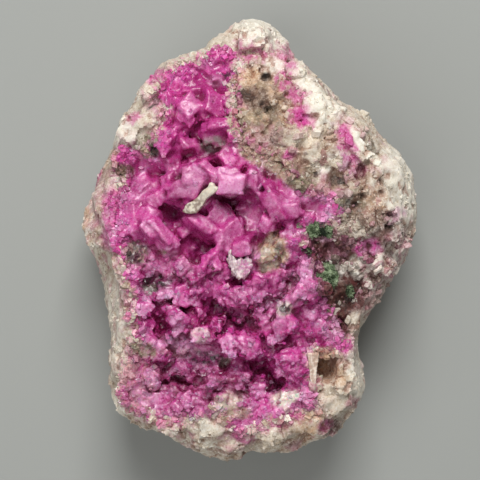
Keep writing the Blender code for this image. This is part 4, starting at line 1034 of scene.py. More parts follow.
def rhomb_mesh(bevel: float, cuts: int = 0) -> bpy.types.Mesh:
    """A calcite rhomb with edges of 1, its upper face at height 0.

    Args:
        bevel: The width of its worn edges, as a share of an edge.
        cuts: How often each edge is cut, for a surface that can be roughened.

    Returns:
        The rhomb as a mesh.
    """
    cross = math.cos(RHOMB_ANGLE)
    rise = math.sin(RHOMB_ANGLE)
    edge_c = Vector((cross, (cross - cross**2) / rise, 0.0))
    edge_c.z = -math.sqrt(1.0 - edge_c.length_squared)
    basis = Matrix(((1.0, 0.0, 0.0), (cross, rise, 0.0), edge_c)).transposed()
    bm = bmesh.new()
    bmesh.ops.create_cube(bm, size=1.0, matrix=Matrix.Translation((0.0, 0.0, 0.5)))
    if bevel:
        bmesh.ops.bevel(
            bm, geom=bm.edges[:], offset=bevel, affect="EDGES", segments=1, profile=0.5, material=-1
        )
    if cuts:
        bmesh.ops.subdivide_edges(bm, edges=bm.edges[:], cuts=cuts, use_grid_fill=True)
    bmesh.ops.transform(bm, matrix=basis.to_4x4(), verts=bm.verts)
    bmesh.ops.recalc_face_normals(bm, faces=bm.faces)
    return mesh_of(bm, "rhomb")


def turned_to(direction: Vector, spin: float) -> Matrix:
    """A rotation that takes +Z to a direction, after a spin about it."""
    return (direction.to_track_quat("Z", "Y").to_matrix()) @ Matrix.Rotation(spin, 3, "Z")


def leaning(normal: Vector, spread: float, chance: random.Random) -> Matrix:
    """A rotation that takes +Z near a normal, with a lean and a spin by chance.

    Args:
        normal: The direction that it leans off.
        spread: How far it leans, as the spread of each part of the normal.
        chance: The source of chance.

    Returns:
        The rotation.
    """
    lean = Vector([chance.gauss(0, spread) for _ in range(3)])
    return turned_to((normal + lean).normalized(), chance.uniform(0, math.tau))


def size_between(smallest: float, largest: float, chance: random.Random) -> float:
    """A size in metres between two in millimetres, more often a small one."""
    return (smallest + (largest - smallest) * chance.random() ** 2) * MM


class Cluster:
    """Many small copies of a few shapes, gathered in one mesh."""

    def __init__(self) -> None:
        """Start with nothing."""
        self.bm = bmesh.new()
        self.tints: list[np.ndarray] = []

    def add(self, shape: bpy.types.Mesh, places: np.ndarray, tints: np.ndarray) -> None:
        """Add one copy of a shape.

        Args:
            shape: The shape, whose vertices are moved for this copy.
            places: Where its vertices go, in metres.
            tints: One colour a vertex.
        """
        shape.vertices.foreach_set("co", places.ravel())
        self.bm.from_mesh(shape)
        self.tints.append(tints)

    def mesh(self, name: str) -> bpy.types.Mesh:
        """All copies as one coloured mesh with flat faces.

        Args:
            name: The mesh's name.

        Returns:
            The mesh. The cluster is used up.
        """
        bmesh.ops.recalc_face_normals(self.bm, faces=self.bm.faces)
        made = mesh_of(self.bm, name)
        paint(made, np.vstack(self.tints))
        made.shade_flat()
        return made


class RhombCluster(Cluster):
    """Many calcite rhombs in one mesh, each with a size, a turn and a tone of its own."""

    def __init__(self, bevel: float = 0.0, proud: float = 0.0) -> None:
        """Start with nothing.

        Args:
            bevel: The width of the rhombs' worn edges, as a share of an edge.
            proud: How far their upper faces stand out of the point that they are set on, as such a share.
        """
        super().__init__()
        self.shape = rhomb_mesh(bevel)
        self.corners = coordinates(self.shape) + np.array((0.0, 0.0, proud))

    def centre(self) -> None:
        """Measure the rhombs from the middle of their upper faces."""
        self.corners -= self.corners[self.corners[:, 2] > -0.001].mean(axis=0)

    def set(self, edges: np.ndarray, turn: Matrix, place: Vector | np.ndarray, tone: np.ndarray) -> None:
        """Add one rhomb.

        Args:
            edges: Its edges in metres.
            turn: How it lies.
            place: Where it goes, in metres.
            tone: Its colour.
        """
        places = (self.corners * edges) @ np.array(turn).T + np.array(place)
        self.add(self.shape, places, np.tile(tone, (len(self.corners), 1)))


@dataclass
class MatrixRock:
    """The lump of matrix rock, with its lumps, broken blocks, pocks and fibrous walls."""

    cell: float = 0.32
    kept_faces: float = 0.72
    swells: Layers = ((0.42, 2.3, 4.4), (0.21, 1.0, 2.7))
    block_width: float = 1.5
    block_height: float = 0.16
    grain_width: float = 0.62
    grain_height: float = 0.10
    pock_depth: float = 0.5
    swelling: float = 0.08
    sinking: float = 1.6
    fibre_height: float = 0.12
    fibre_size: tuple[float, float, float] = (0.7, 4.0, 0.9)
    wall_breaks: tuple = ((3.6, 0.34), (1.7, 0.16), (0.8, 0.06))
    cavity: tuple[float, float, float] = (10.8, -18.8, 3.6)
    cavity_wear: Layers = ((0.55, 1.3, 33.0), (0.275, 0.6, 34.0))
    # What lies lower than this is the flat back.
    back: float = 0.05
    crease: float = 40.0
    # Places where the broken blocks are worn round: x, y, reach and how often the rock is softened, and
    # the height that they start from.
    worn_places: tuple = ((16.0, -12.4, 3.0, 36), (11.0, -18.7, 3.3, 34))
    worn_from: float = 9.0
    # Small dark holes in the upper face: x, y, reach and depth.
    holes: tuple = (
        (13.2, 9.2, 2.0, 1.5), (16.6, 10.3, 1.2, 0.9), (20.0, 7.4, 0.8, 0.9), (21.2, 2.3, 1.0, 1.0),
        (15.8, 5.4, 1.0, 0.8), (17.0, 6.9, 0.9, 0.8), (18.0, -0.6, 0.8, 0.7), (14.5, -9.0, 1.9, 1.1),
        (12.3, -1.2, 1.5, 1.0), (13.8, -12.6, 1.3, 0.9), (-0.4, 22.0, 1.2, 0.6), (2.4, 20.2, 1.1, 0.6),
        (22.8, 0.2, 0.9, 0.6), (10.0, 10.2, 0.8, 0.6), (2.5, 24.8, 0.8, 0.8), (19.0, -5.2, 1.2, 0.8),
    )

    def broken(self, spots: np.ndarray, normals: np.ndarray) -> np.ndarray:
        """How far the blocks and grains of the upper face stand out, with its pocks and holes.

        Args:
            spots: Places in layout millimetres, one row each.
            normals: The surface's direction at each place.

        Returns:
            One height a place in millimetres.
        """
        heights = self.block_height * facets(spots, self.block_width, 4.4)
        heights += self.grain_height * facets(spots, self.grain_width, 9.2)
        heights -= self.pock_depth * smooth_step((field(spots, 1.2, 21.0) - 0.30) / 0.16)
        heights *= 1.0 - 0.55 * smooth_step(0.35 + 2.0 * field(spots, 3.2, 61.0))
        for x, y, reach, depth in self.holes:
            heights -= depth * disc(spots, x, y, reach, steep=1.4) * facing_up(normals)
        return heights

    def relief(self, spots: np.ndarray, normals: np.ndarray) -> np.ndarray:
        """How far each point of the rock stands out.

        Args:
            spots: Places in layout millimetres, one row each.
            normals: The surface's direction at each place.

        Returns:
            One height a place in millimetres, nothing at the flat back.
        """
        wall = smooth_step((0.6 - np.abs(normals[:, 2])) / 0.3)
        fibres = self.fibre_height * field(spots, self.fibre_size, 14.0)
        for width, height in self.wall_breaks:
            fibres += height * facets(spots, width, 3.3)
        near = disc(spots, *self.cavity, steep=1.6)
        shape = layered(spots, self.swells) * (1 - 0.5 * wall)
        shape += self.broken(spots, normals) * (1 - 0.8 * wall)
        shape += fibres * wall * (1 - near) + near * layered(spots, self.cavity_wear)
        off_ground = smooth_step((spots[:, 2] - 0.2) / 1.2)
        return (self.swelling + shape) * off_ground

    def wear(self, mesh: bpy.types.Mesh) -> None:
        """Soften the upper rock at the worn places.

        Args:
            mesh: The rock's net, which is changed.
        """
        bm = bmesh.new()
        bm.from_mesh(mesh)
        for x, y, reach, rounds in self.worn_places:
            middle = Vector((x * MM, (y + LAYOUT_Y) * MM))
            high = [v for v in bm.verts if v.co.z > self.worn_from * MM]
            near = [v for v in high if (v.co.xy - middle).length < reach * MM]
            soften(bm, near, rounds)
        bm.to_mesh(mesh)
        bm.free()

    def colour(self, mesh: bpy.types.Mesh, points: np.ndarray, solids: Surroundings) -> None:
        """Paint the rock by what grows on it, with painted shade where it sees little sky.

        Args:
            mesh: The finished rock.
            points: The places of its vertices, in metres.
            solids: The CAD rock and crust.
        """
        normals = directions(mesh)
        own = Surroundings("pink_crystal_crust")
        own.include(mesh)
        sky = np.minimum(own.openness(points, normals, 1.6), solids.openness(points, normals))
        own.free()
        paint(mesh, rock_tints(to_layout(points), normals, sky))

    def build(self, solids: Surroundings, finish: bpy.types.Material) -> bpy.types.Object:
        """Model the rock over its CAD solid, colour it and put it in place of the node.

        Args:
            solids: The CAD rock and crust.
            finish: The rock's material.

        Returns:
            The piece.
        """
        mesh = even_mesh("matrix", self.cell)
        self.wear(mesh)
        points = coordinates(mesh)
        covered = solids.openness(points, directions(mesh)) < OUT_OF_SIGHT
        mesh = thinned(mesh, covered | (points[:, 2] < self.back * MM), self.kept_faces)
        points, normals = coordinates(mesh), directions(mesh)
        spots = to_layout(points)
        points = points + normals * (self.relief(spots, normals) * MM)[:, None]
        under = smooth_step((inside_hollow(spots) - 0.8) / 1.4) * smooth_step((normals[:, 2] - 0.2) / 0.4)
        points[:, 2] -= self.sinking * under * (spots[:, 2] > 10.0) * MM
        points[:, 2] = np.maximum(points[:, 2], 0.0)
        move_to(mesh, points)
        self.colour(mesh, points, solids)
        piece = piece_from(smoothed(mesh, self.crease), "matrix_rock", finish)
        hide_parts("matrix")
        return piece


@dataclass
class RockGrains:
    """Sugary grains or broken blocks that stand on the rock's upper face.

    Others says which share of them takes its tone from another mineral. Region is the middle and the reach of
    the part of the rock that they keep to. Lowest and steepest are the least height and the least upward part
    of the normal of the ground that they stand on.
    """

    name: str
    count: int
    smallest: float
    largest: float
    others: tuple[tuple[float, Mineral], ...]
    region: tuple[float, float, float] = (0.0, 0.0, 99.0)
    proud: float = 0.10
    bevel: float = 0.0
    lean: float = 0.4
    mixing: float = 0.4
    lowest: float = 8.0
    steepest: float = 0.35
    seed: int = 5

    def tone(self, own: np.ndarray, chance: random.Random) -> np.ndarray:
        """A grain's colour: the rock's own under it, or drawn towards another mineral's.

        Args:
            own: The rock's colour.
            chance: The source of chance.

        Returns:
            The grain's colour.
        """
        tone = own * chance.uniform(0.82, 1.15)
        pick = chance.random()
        for share, mineral in self.others:
            pick -= share
            if pick < 0:
                return tone + (mineral.colour - tone) * self.mixing
        return tone

    def build(self, rock: bpy.types.Object, finish: bpy.types.Material) -> bpy.types.Object:
        """Set each grain on a point of the rock, with a tone of its own.

        Args:
            rock: The finished rock.
            finish: The rock's material.

        Returns:
            The piece.
        """
        chance = random.Random(self.seed)
        points, normals = coordinates(rock.data), directions(rock.data)
        layout, colours = to_layout(points), tints_of(rock.data)
        x, y, reach = self.region
        wanted = mound(layout, x, y, reach, reach) * smooth_step(0.4 + 1.6 * field(layout, 2.6, 71.0))
        wanted *= (layout[:, 2] > self.lowest) & (normals[:, 2] > self.steepest)
        grains = RhombCluster(self.bevel, self.proud)
        for i in chance.choices(range(len(points)), weights=wanted.tolist(), k=self.count):
            size = size_between(self.smallest, self.largest, chance)
            turn = leaning(Vector(normals[i]), self.lean, chance)
            stretch = np.array([chance.uniform(*ends) for ends in GRAIN_STRETCH])
            grains.set(stretch * size, turn, points[i], self.tone(colours[i], chance))
        return piece_from(grains.mesh(self.name), self.name, finish)


@dataclass
class SeamGrains:
    """Grains that grew over the line where the pink crust meets the rock."""

    a_millimetre: float = 10.0
    spread: float = 0.65
    smallest: float = 0.25
    largest: float = 0.85
    proud: float = 0.3
    lean: float = 0.5
    seed: int = 77

    def build(
        self, rock: bpy.types.Object, crust: bpy.types.Object, finish: bpy.types.Material
    ) -> bpy.types.Object:
        """Set grains along the hollow's edge, each in the colour of what lies under it.

        Args:
            rock: The finished rock.
            crust: The finished crust.
            finish: The rock's material.

        Returns:
            The piece.
        """
        chance = random.Random(self.seed)
        both = Surroundings()
        both.include(rock.data)
        both.include(crust.data)
        both.bm.faces.ensure_lookup_table()
        colours = np.vstack((tints_of(rock.data), tints_of(crust.data)))
        grains = RhombCluster(proud=self.proud)
        for (ax, ay), (bx, by) in zip(HOLLOW_EDGE, HOLLOW_EDGE[1:] + HOLLOW_EDGE[:1]):
            for _ in range(round(self.a_millimetre * math.hypot(bx - ax, by - ay))):
                share = chance.random()
                x = ax + share * (bx - ax) + chance.gauss(0, self.spread)
                y = ay + share * (by - ay) + chance.gauss(0, self.spread)
                place, normal, face, _ = both.tree.ray_cast(Vector((x * MM, (y + LAYOUT_Y) * MM, 1.0)), DOWN)
                if place is None or normal.z < 0.2:
                    continue
                size = size_between(self.smallest, self.largest, chance)
                turn = leaning(normal, self.lean, chance)
                stretch = np.array((chance.uniform(0.8, 1.4), chance.uniform(0.6, 1.0), 1.0))
                tone = colours[both.bm.faces[face].verts[0].index] * chance.uniform(0.8, 1.25)
                grains.set(stretch * size, turn, place, tone)
        both.free()
        return piece_from(grains.mesh("seam_grains"), "seam_grains", finish)


@dataclass
class PinkCrust:
    """The pink crust: the skin on the hollow's floor and the rhombs grown together on it, as one surface."""

    solids: Surroundings
    crust: Surroundings
    rocks: Surroundings
    cell: float = 0.27
    rounding: int = 3
    kept_faces: float = 0.63
    lift: float = 0.08
    sinking: float = 0.3
    growths: int = 5
    fill_count: int = 260
    fill_tries: int = 3000
    sugar_width: float = 0.5
    sugar_height: float = 0.035
    melting: float = 0.16
    gap_sky: float = 0.5
    gap_fill: float = 1.1
    deepest: float = 1.5
    # Where malachite grows or the cavity opens, the pink crystals stay away: x, y and reach.
    kept_clear: tuple = ((11.5, -5.2, 2.2), (10.4, 1.7, 1.6), (14.9, -7.4, 0.9), (11.4, -17.4, 1.9))
    ragged_height: float = 0.6
    edge_spread: float = 0.5
    crease: float = 46.0
    seed: int = 23

    def basis(self, crystal: Crystal) -> Matrix:
        """How a crystal lies: its turn about the vertical, then its lean towards a bearing.

        Args:
            crystal: The crystal.

        Returns:
            The rotation.
        """
        towards = math.radians(crystal.towards)
        axis = Vector((-math.sin(towards), math.cos(towards), 0.0))
        lean = Matrix.Rotation(math.radians(crystal.lean), 3, axis)
        return lean @ Matrix.Rotation(math.radians(crystal.turn), 3, "Z")

    def is_kept_clear(self, spot: Vector) -> bool:
        """Whether a place, in metres, is one that the pink crystals stay away from."""
        x, y = spot.x / MM, spot.y / MM - LAYOUT_Y
        return any(math.hypot(x - cx, y - cy) < reach for cx, cy, reach in self.kept_clear)

    def main_crystals(self, crystals: RhombCluster, chance: random.Random) -> list[tuple[Vector, float]]:
        """Grow the crystals of the table, each with smaller ones beside it that lie the same way.

        Args:
            crystals: Where they go.
            chance: The source of chance.

        Returns:
            Each crystal's middle in metres, and how pale it is.
        """
        found = []
        for crystal in MAIN_CRYSTALS:
            top = self.solids.drop(crystal.x, crystal.y)
            turn = self.basis(crystal)
            size = Vector((crystal.long, crystal.wide, 0.5 * (crystal.long + crystal.wide) + 0.8)) * 1.03
            sunk = self.sinking * min(1.0, max(0.0, -crystal.y / 8.0))
            lifted = top + turn.col[2] * (self.lift - sunk) * MM
            crystals.set(np.array(size) * MM, turn, lifted, NO_TONE)
            tone = chance.uniform(-0.8, 1.0)
            found.append((lifted, tone))
            for _ in range(self.growths):
                share = chance.uniform(0.3, 0.62)
                bearing = chance.uniform(0, math.tau)
                out = chance.uniform(0.42, 0.72)
                side = Vector((math.cos(bearing), math.sin(bearing))) * out
                spot = lifted + (turn.col[0] * side.x * size.x + turn.col[1] * side.y * size.y) * MM
                spot -= turn.col[2] * chance.uniform(0.25, 1.3) * MM
                if self.is_kept_clear(spot):
                    continue
                tilt = Matrix.Rotation(chance.gauss(0, 0.16), 3, "X")
                tilt = tilt @ Matrix.Rotation(chance.gauss(0, 0.16), 3, "Y")
                crystals.set(np.array(size * share) * MM, turn @ tilt, spot, NO_TONE)
                found.append((spot, tone + chance.uniform(-0.3, 0.3)))
        return found

    def fill_crystals(self, crystals: RhombCluster, chance: random.Random) -> list[tuple[Vector, float]]:
        """Grow smaller crystals between the main ones, and none in the pits.

        Args:
            crystals: Where they go. The main crystals are in it.
            chance: The source of chance.

        Returns:
            Each crystal's middle in metres, and how pale it is.
        """
        found = []
        grown = BVHTree.FromBMesh(crystals.bm)
        for _ in range(self.fill_tries):
            x, y = chance.uniform(-20, 14.5), chance.uniform(-28, 29)
            top, hit = self.crust.drop(x, y), self.solids.drop(x, y)
            if len(found) == self.fill_count or top is None or (hit - top).length > 0.2 * MM:
                continue
            in_pit = any(math.hypot(x - px, y - py) < 0.9 * radius for px, py, radius, _ in PITS)
            below = top - Vector((0, 0, 0.3 * MM))
            if in_pit or grown.ray_cast(below, Vector((0, 0, 1)), 2 * MM)[0] is not None:
                continue
            long = chance.uniform(0.9, 1.6) + 1.1 * chance.random() ** 2
            size = Vector((long, long * chance.uniform(0.5, 0.95), long))
            lean, towards, twist = chance.uniform(8, 50), chance.uniform(0, 360), chance.uniform(-90, 90)
            crystal = Crystal(x, y, size.x, size.y, lean, towards, twist)
            spot = top + Vector((0, 0, chance.uniform(-0.1, 0.35) * MM))
            if self.is_kept_clear(spot):
                continue
            crystals.set(np.array(size) * MM, self.basis(crystal), spot, NO_TONE)
            found.append((spot, chance.uniform(-0.9, 0.8)))
        return found

    def sink_pits(self, points: np.ndarray, normals: np.ndarray) -> np.ndarray:
        """Lower the open surface in the pits.

        Args:
            points: Places in metres, one row each.
            normals: The surface's direction at each place.

        Returns:
            The new places.
        """
        spots = to_layout(points)
        depth = np.zeros(len(points))
        for x, y, radius, extra in PITS:
            depth += extra * mound(spots, x, y, radius, radius)
        sunk = points.copy()
        sunk[:, 2] -= np.minimum(depth, self.deepest) * facing_up(normals) * MM
        return sunk

    def fill_gaps(self, mesh: bpy.types.Mesh, points: np.ndarray, normals: np.ndarray) -> np.ndarray:
        """Lift the floor of the gaps that hardly see the sky.

        Args:
            mesh: The crystals' net.
            points: Its places in metres, one row each.
            normals: Its direction at each place.

        Returns:
            The new places.
        """
        own = Surroundings()
        own.include(mesh)
        shut = smooth_step((self.gap_sky - own.openness(points, normals)) / 0.3)
        own.free()
        filled = points.copy()
        filled[:, 2] += self.gap_fill * shut * facing_up(normals) * MM
        return filled

    def relief(self, spots: np.ndarray, normals: np.ndarray) -> np.ndarray:
        """How far each point of the crust stands out.

        Args:
            spots: Places in layout millimetres, one row each.
            normals: The surface's direction at each place.

        Returns:
            One height a place in millimetres.
        """
        relief = self.sugar_height * (facets(spots, self.sugar_width, 6.1) + 0.5 * field(spots, 0.3, 8.8))
        relief += self.melting * (field(spots, 1.5, 81.0) + 0.6 * field(spots, 0.7, 82.0))
        lower = smooth_step((2.0 - spots[:, 1]) / 6.0) * facing_up(normals)
        ragged = layered(spots, ((1.0, 1.5, 15.0), (0.5, 0.7, 25.0))) + 0.3 * facets(spots, 0.9, 35.0)
        relief += self.ragged_height * lower * ragged
        upright = smooth_step((0.5 - np.abs(normals[:, 2])) / 0.3)
        spread = self.edge_spread * (1.0 + 2.4 * np.maximum(0.0, field(spots, 1.6, 44.0)))
        return relief + spread * smooth_step((0.5 - inside_hollow(spots)) / 0.4) * upright

    def colour(self, mesh: bpy.types.Mesh, middles: list[tuple[Vector, float]]) -> None:
        """Paint the crust by its nearest crystal, with painted shade and highlight by how open it lies.

        Args:
            mesh: The finished crust.
            middles: Each crystal's middle in metres, and how pale it is.
        """
        points, normals = coordinates(mesh), directions(mesh)
        own = Surroundings("matrix")
        own.include(mesh)
        sky, nearby = own.openness(points, normals), own.openness(points, normals, 1.2)
        own.free()
        tree = KDTree(len(middles))
        for i, (middle, _) in enumerate(middles):
            tree.insert(middle, i)
        tree.balance()
        tones = np.array([middles[tree.find(point)[1]][1] for point in points.tolist()])
        paint(mesh, calcite_tints(to_layout(points), normals, sky, nearby, tones))

    def build(self, finish: bpy.types.Material) -> bpy.types.Object:
        """Grow the crystals on the CAD crust, join them in one net, roughen and colour it.

        Args:
            finish: The pink calcite's material.

        Returns:
            The piece.
        """
        chance = random.Random(self.seed)
        crystals = RhombCluster()
        crystals.centre()
        middles = self.main_crystals(crystals, chance)
        middles += self.fill_crystals(crystals, chance)
        crystals.bm.from_mesh(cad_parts["pink_crystal_crust"].data)
        bmesh.ops.remove_doubles(crystals.bm, verts=crystals.bm.verts, dist=SAME_PLACE)
        mesh = netted(crystals.bm, self.cell, self.rounding)
        covered = self.rocks.openness(coordinates(mesh), directions(mesh)) < OUT_OF_SIGHT
        mesh = thinned(mesh, covered & (directions(mesh)[:, 2] < 0.1), self.kept_faces)
        points, normals = coordinates(mesh), directions(mesh)
        points = self.sink_pits(self.fill_gaps(mesh, points, normals), normals)
        move_to(mesh, points + normals * (self.relief(to_layout(points), normals) * MM)[:, None])
        self.colour(mesh, middles)
        piece = piece_from(smoothed(mesh, self.crease), "pink_crust", finish)
        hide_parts("pink_crystal_crust")
        return piece


@dataclass
class PinkDruse:
    """Over a thousand tiny pink rhombs, mostly on the crust's lower half, at its edge and on a brown lump."""

    tries: int = 4800
    smallest: float = 0.2
    largest: float = 0.8
    proud: float = 0.22
    lean: float = 0.45
    # The lump: x, y and its reach along X and Y.
    lump: tuple[float, float, float, float] = (3.5, -1.6, 2.6, 3.0)
    fewest: float = 0.06
    # How many are dark, and how many are dark or frosty.
    dark_share: float = 0.10
    toned_share: float = 0.26
    seed: int = 41

    def density(self, layout: np.ndarray) -> np.ndarray:
        """How thickly the rhombs grow.

        Args:
            layout: Places in layout millimetres, one row each.

        Returns:
            One share a place.
        """
        lower = smooth_step((-1.0 - layout[:, 1]) / 6.0)
        rim = smooth_step((3.0 - inside_hollow(layout)) / 2.0)
        densest = np.maximum(np.maximum(lower, rim), mound(layout, *self.lump))
        return self.fewest + (1.0 - self.fewest) * densest

    def tone(self, own: np.ndarray, chance: random.Random) -> np.ndarray:
        """A rhomb's colour: the crust's own under it, darker, or frosty.

        Args:
            own: The crust's colour.
            chance: The source of chance.

        Returns:
            The rhomb's colour.
        """
        tone = own * chance.uniform(0.8, 1.2)
        pick = chance.random()
        if pick < self.dark_share:
            return tone * DARK_RHOMB
        if pick < self.toned_share:
            return tone + (Mineral.FROST.colour - tone) * 0.5
        return tone

    def build(self, crust: bpy.types.Object, finish: bpy.types.Material) -> bpy.types.Object:
        """Set each crystal on an open point of the skin, leaning off its normal.

        Args:
            crust: The finished crust.
            finish: The pink calcite's material.

        Returns:
            The piece.
        """
        chance = random.Random(self.seed)
        points, normals, colours = coordinates(crust.data), directions(crust.data), tints_of(crust.data)
        dense = self.density(to_layout(points))
        picked = []
        for _ in range(self.tries):
            i = chance.randrange(len(points))
            if normals[i, 2] < 0.05 or chance.random() > dense[i]:
                continue
            picked.append(i)
        rhombs = RhombCluster(proud=self.proud)
        for i in picked:
            size = size_between(self.smallest, self.largest, chance)
            turn = leaning(Vector(normals[i]), self.lean, chance)
            stretch = np.array((chance.uniform(0.8, 1.3), chance.uniform(0.7, 1.0), 1.0))
            rhombs.set(stretch * size, turn, points[i], self.tone(colours[i], chance))
        return piece_from(rhombs.mesh("pink_druse"), "pink_druse", finish)


@dataclass
class MalachiteTuft:
    """One tuft of malachite: a felted clump of tiny green needles.

    Specks are loose bits around it: x, y and reach. Parting is where a gap parts the tuft in two, along X.
    """

    node: str
    needles: int
    specks: tuple[tuple[float, float, float], ...] = ()
    parting: float = 99.0
    parting_depth: float = 1.1
    parting_width: float = 0.45
    cell: float = 0.13
    felt: Layers = ((0.62, 0.9, 3.0), (0.40, 0.36, 4.0), (0.18, 0.17, 6.0))
    spread: float = 0.12
    longest: float = 0.9
    widest: float = 0.17
    lean: float = 0.5
    # How many needles a speck has for each millimetre of its reach, and how high over the ground they stand.
    speck_needles: float = 90.0
    speck_height: float = 0.15
    seed: int = 61

    def green(self, spots: np.ndarray, lit: np.ndarray) -> np.ndarray:
        """The malachite's colour: painted shade near black in folds, painted highlights grey green on tips.

        Args:
            spots: Places in layout millimetres.
            lit: How much painted light each place takes, from its folds out to its tips.

        Returns:
            One linear colour a place.
        """
        tints = mixed(Mineral.PINE.colour, Mineral.MALACHITE.colour, smooth_step(lit / 0.7))
        tips = smooth_step((lit - 0.45) / 0.4) * smooth_step(0.5 + 1.6 * field(spots, 0.6, 5.0))
        return mixed(tints, Mineral.SAGE.colour, tips)

    def needle(self) -> bpy.types.Mesh:
        """A blunt needle along Z with a length of 1."""
        bm = bmesh.new()
        bmesh.ops.create_cone(bm, cap_ends=True, segments=5, radius1=0.5, radius2=0.15, depth=1.0)
        return mesh_of(bm, "needle")

    def speck_seats(self, rock: Surroundings, chance: random.Random) -> list[tuple[Vector, Vector, float]]:
        """Where the needles of the specks stand.

        Args:
            rock: The CAD rock and crust.
            chance: The source of chance.

        Returns:
            Each needle's place in metres, its direction and how well lit it is.
        """
        seats = []
        for x, y, reach in self.specks:
            for _ in range(round(self.speck_needles * reach)):
                bearing, out = chance.uniform(0, math.tau), reach * math.sqrt(chance.random())
                seat = rock.drop(x + out * math.cos(bearing), y + out * math.sin(bearing))
                seats.append((seat + Vector((0, 0, self.speck_height * MM)), Vector((0, 0, 1)), 0.5))
        return seats

    def build(self, rock: Surroundings, finish: bpy.types.Material) -> bpy.types.Object:
        """Roughen the CAD clump, set it with needles, and add the specks that lie around it.

        Args:
            rock: The CAD rock and crust.
            finish: The malachite's material.

        Returns:
            The piece.
        """
        chance = random.Random(self.seed + self.needles)
        core = even_mesh(self.node, self.cell)
        points, normals = coordinates(core), directions(core)
        spots = to_layout(points)
        felt = layered(spots, self.felt)
        felt -= self.parting_depth * np.exp(-(((spots[:, 0] - self.parting) / self.parting_width) ** 2))
        move_to(core, points + normals * ((felt + self.spread) * MM)[:, None])
        points = coordinates(core)
        # Painted light: places that face up or stand out of the felt are painted lighter, the folds darker.
        lit = 0.35 + 0.3 * normals[:, 2] + 0.9 * felt
        cluster = Cluster()
        cluster.add(core, points, self.green(spots, lit))
        shape = self.needle()
        corners = coordinates(shape)
        picks = [chance.randrange(len(points)) for _ in range(self.needles)]
        seats = [(Vector(points[i]), Vector(normals[i]), lit[i]) for i in picks]
        seats += self.speck_seats(rock, chance)
        for seat, out, shade in seats:
            turn = leaning(out, self.lean, chance)
            wide = self.widest * chance.uniform(0.5, 1.0)
            size = np.array((wide, wide, self.longest * chance.uniform(0.4, 1.0))) * MM
            places = (corners * size) @ np.array(turn).T + np.array(seat)
            # Each needle takes its seat's painted light, painted lighter towards its tip.
            cluster.add(shape, places, self.green(to_layout(places), shade + 0.1 + 0.5 * corners[:, 2]))
        piece = piece_from(cluster.mesh(self.node), f"{self.node}_clump", finish)
        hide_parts(self.node)
        return piece


@dataclass
class StoneChip:
    """A loose thin piece of stone: the splinter, the flake or a blade.

    Low and high are its darker and its paler colour, and grain is the width of its streaks along each axis.
    Stain is the colour of its stained place, and stain_spot is that place: x, y and reach.
    """

    node: str
    slot: str
    low: tuple[float, float, float]
    high: tuple[float, float, float]
    grain: tuple[float, float, float]
    relief: float
    stain: tuple[float, float, float] = (0.5, 0.2, 0.3)
    stain_spot: tuple[float, float, float] = (0.0, 0.0, 0.01)
    rounding: int = 1
    cell: float = 0.12
    swelling: float = 0.04
    crease: float = 35.0

    def build(self, finish: bpy.types.Material) -> bpy.types.Object:
        """Model the chip over its CAD solid, with streaks along its grain.

        Args:
            finish: The chip's material.

        Returns:
            The piece.
        """
        mesh = even_mesh(self.node, self.cell, self.rounding)
        points, normals = coordinates(mesh), directions(mesh)
        spots = to_layout(points)
        streak = field(spots, self.grain, 5.0)
        relief = self.relief * (streak + 0.7 * facets(spots, 0.6, 7.0) + 0.5 * field(spots, 0.3, 9.0))
        move_to(mesh, points + normals * ((relief + self.swelling) * MM)[:, None])
        share = smooth_step(0.5 + 1.3 * streak + 0.9 * field(spots, 0.35, 8.0))
        tints = mixed(np.array(self.low), np.array(self.high), share)
        stained = disc(spots, *self.stain_spot, steep=1.7) * smooth_step(0.6 + 2.4 * field(spots, 0.4, 3.0))
        paint(mesh, mixed(tints, np.array(self.stain), 0.85 * stained))
        piece = piece_from(smoothed(mesh, self.crease), f"{self.node}_piece", finish)
        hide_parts(self.node)
        return piece


@dataclass
class CavityShard:
    """A small upright blade of brown calcite in the rock on the far side of the cavity."""

    x: float = 13.2
    y: float = -17.6
    size: tuple[float, float, float] = (0.5, 1.9, 2.6)
    lift: float = 0.5
    turn: float = 8.0
    lean: float = -14.0
    roughness: float = 0.12
    bevel: float = 0.08
    cuts: int = 5
    crease: float = 35.0
    seed: float = 4.0

    def build(self, rock: Surroundings, finish: bpy.types.Material) -> bpy.types.Object:
        """Stretch a rhomb, roughen it and stand it beside the cavity.

        Args:
            rock: The CAD rock and crust.
            finish: The blade's material.

        Returns:
            The piece.
        """
        mesh = rhomb_mesh(self.bevel, self.cuts)
        corners = coordinates(mesh)
        rough = self.roughness * directions(mesh) * facets(corners * 3, 0.8, self.seed)[:, None]
        top = rock.drop(self.x, self.y) + Vector((0, 0, self.lift * MM))
        turn = Matrix.Rotation(math.radians(self.turn), 3, "Z")
        turn = turn @ Matrix.Rotation(math.radians(self.lean), 3, "Y")
        move_to(mesh, ((corners * np.array(self.size) + rough) * MM) @ np.array(turn).T + np.array(top))
        share = smooth_step(0.5 + 1.5 * field(corners, (0.2, 1.0, 0.4), 2.0))
        paint(mesh, mixed(Mineral.SIENNA.colour, Mineral.HONEY.colour, share))
        return piece_from(smoothed(mesh, self.crease), "brown_blade_small", finish)


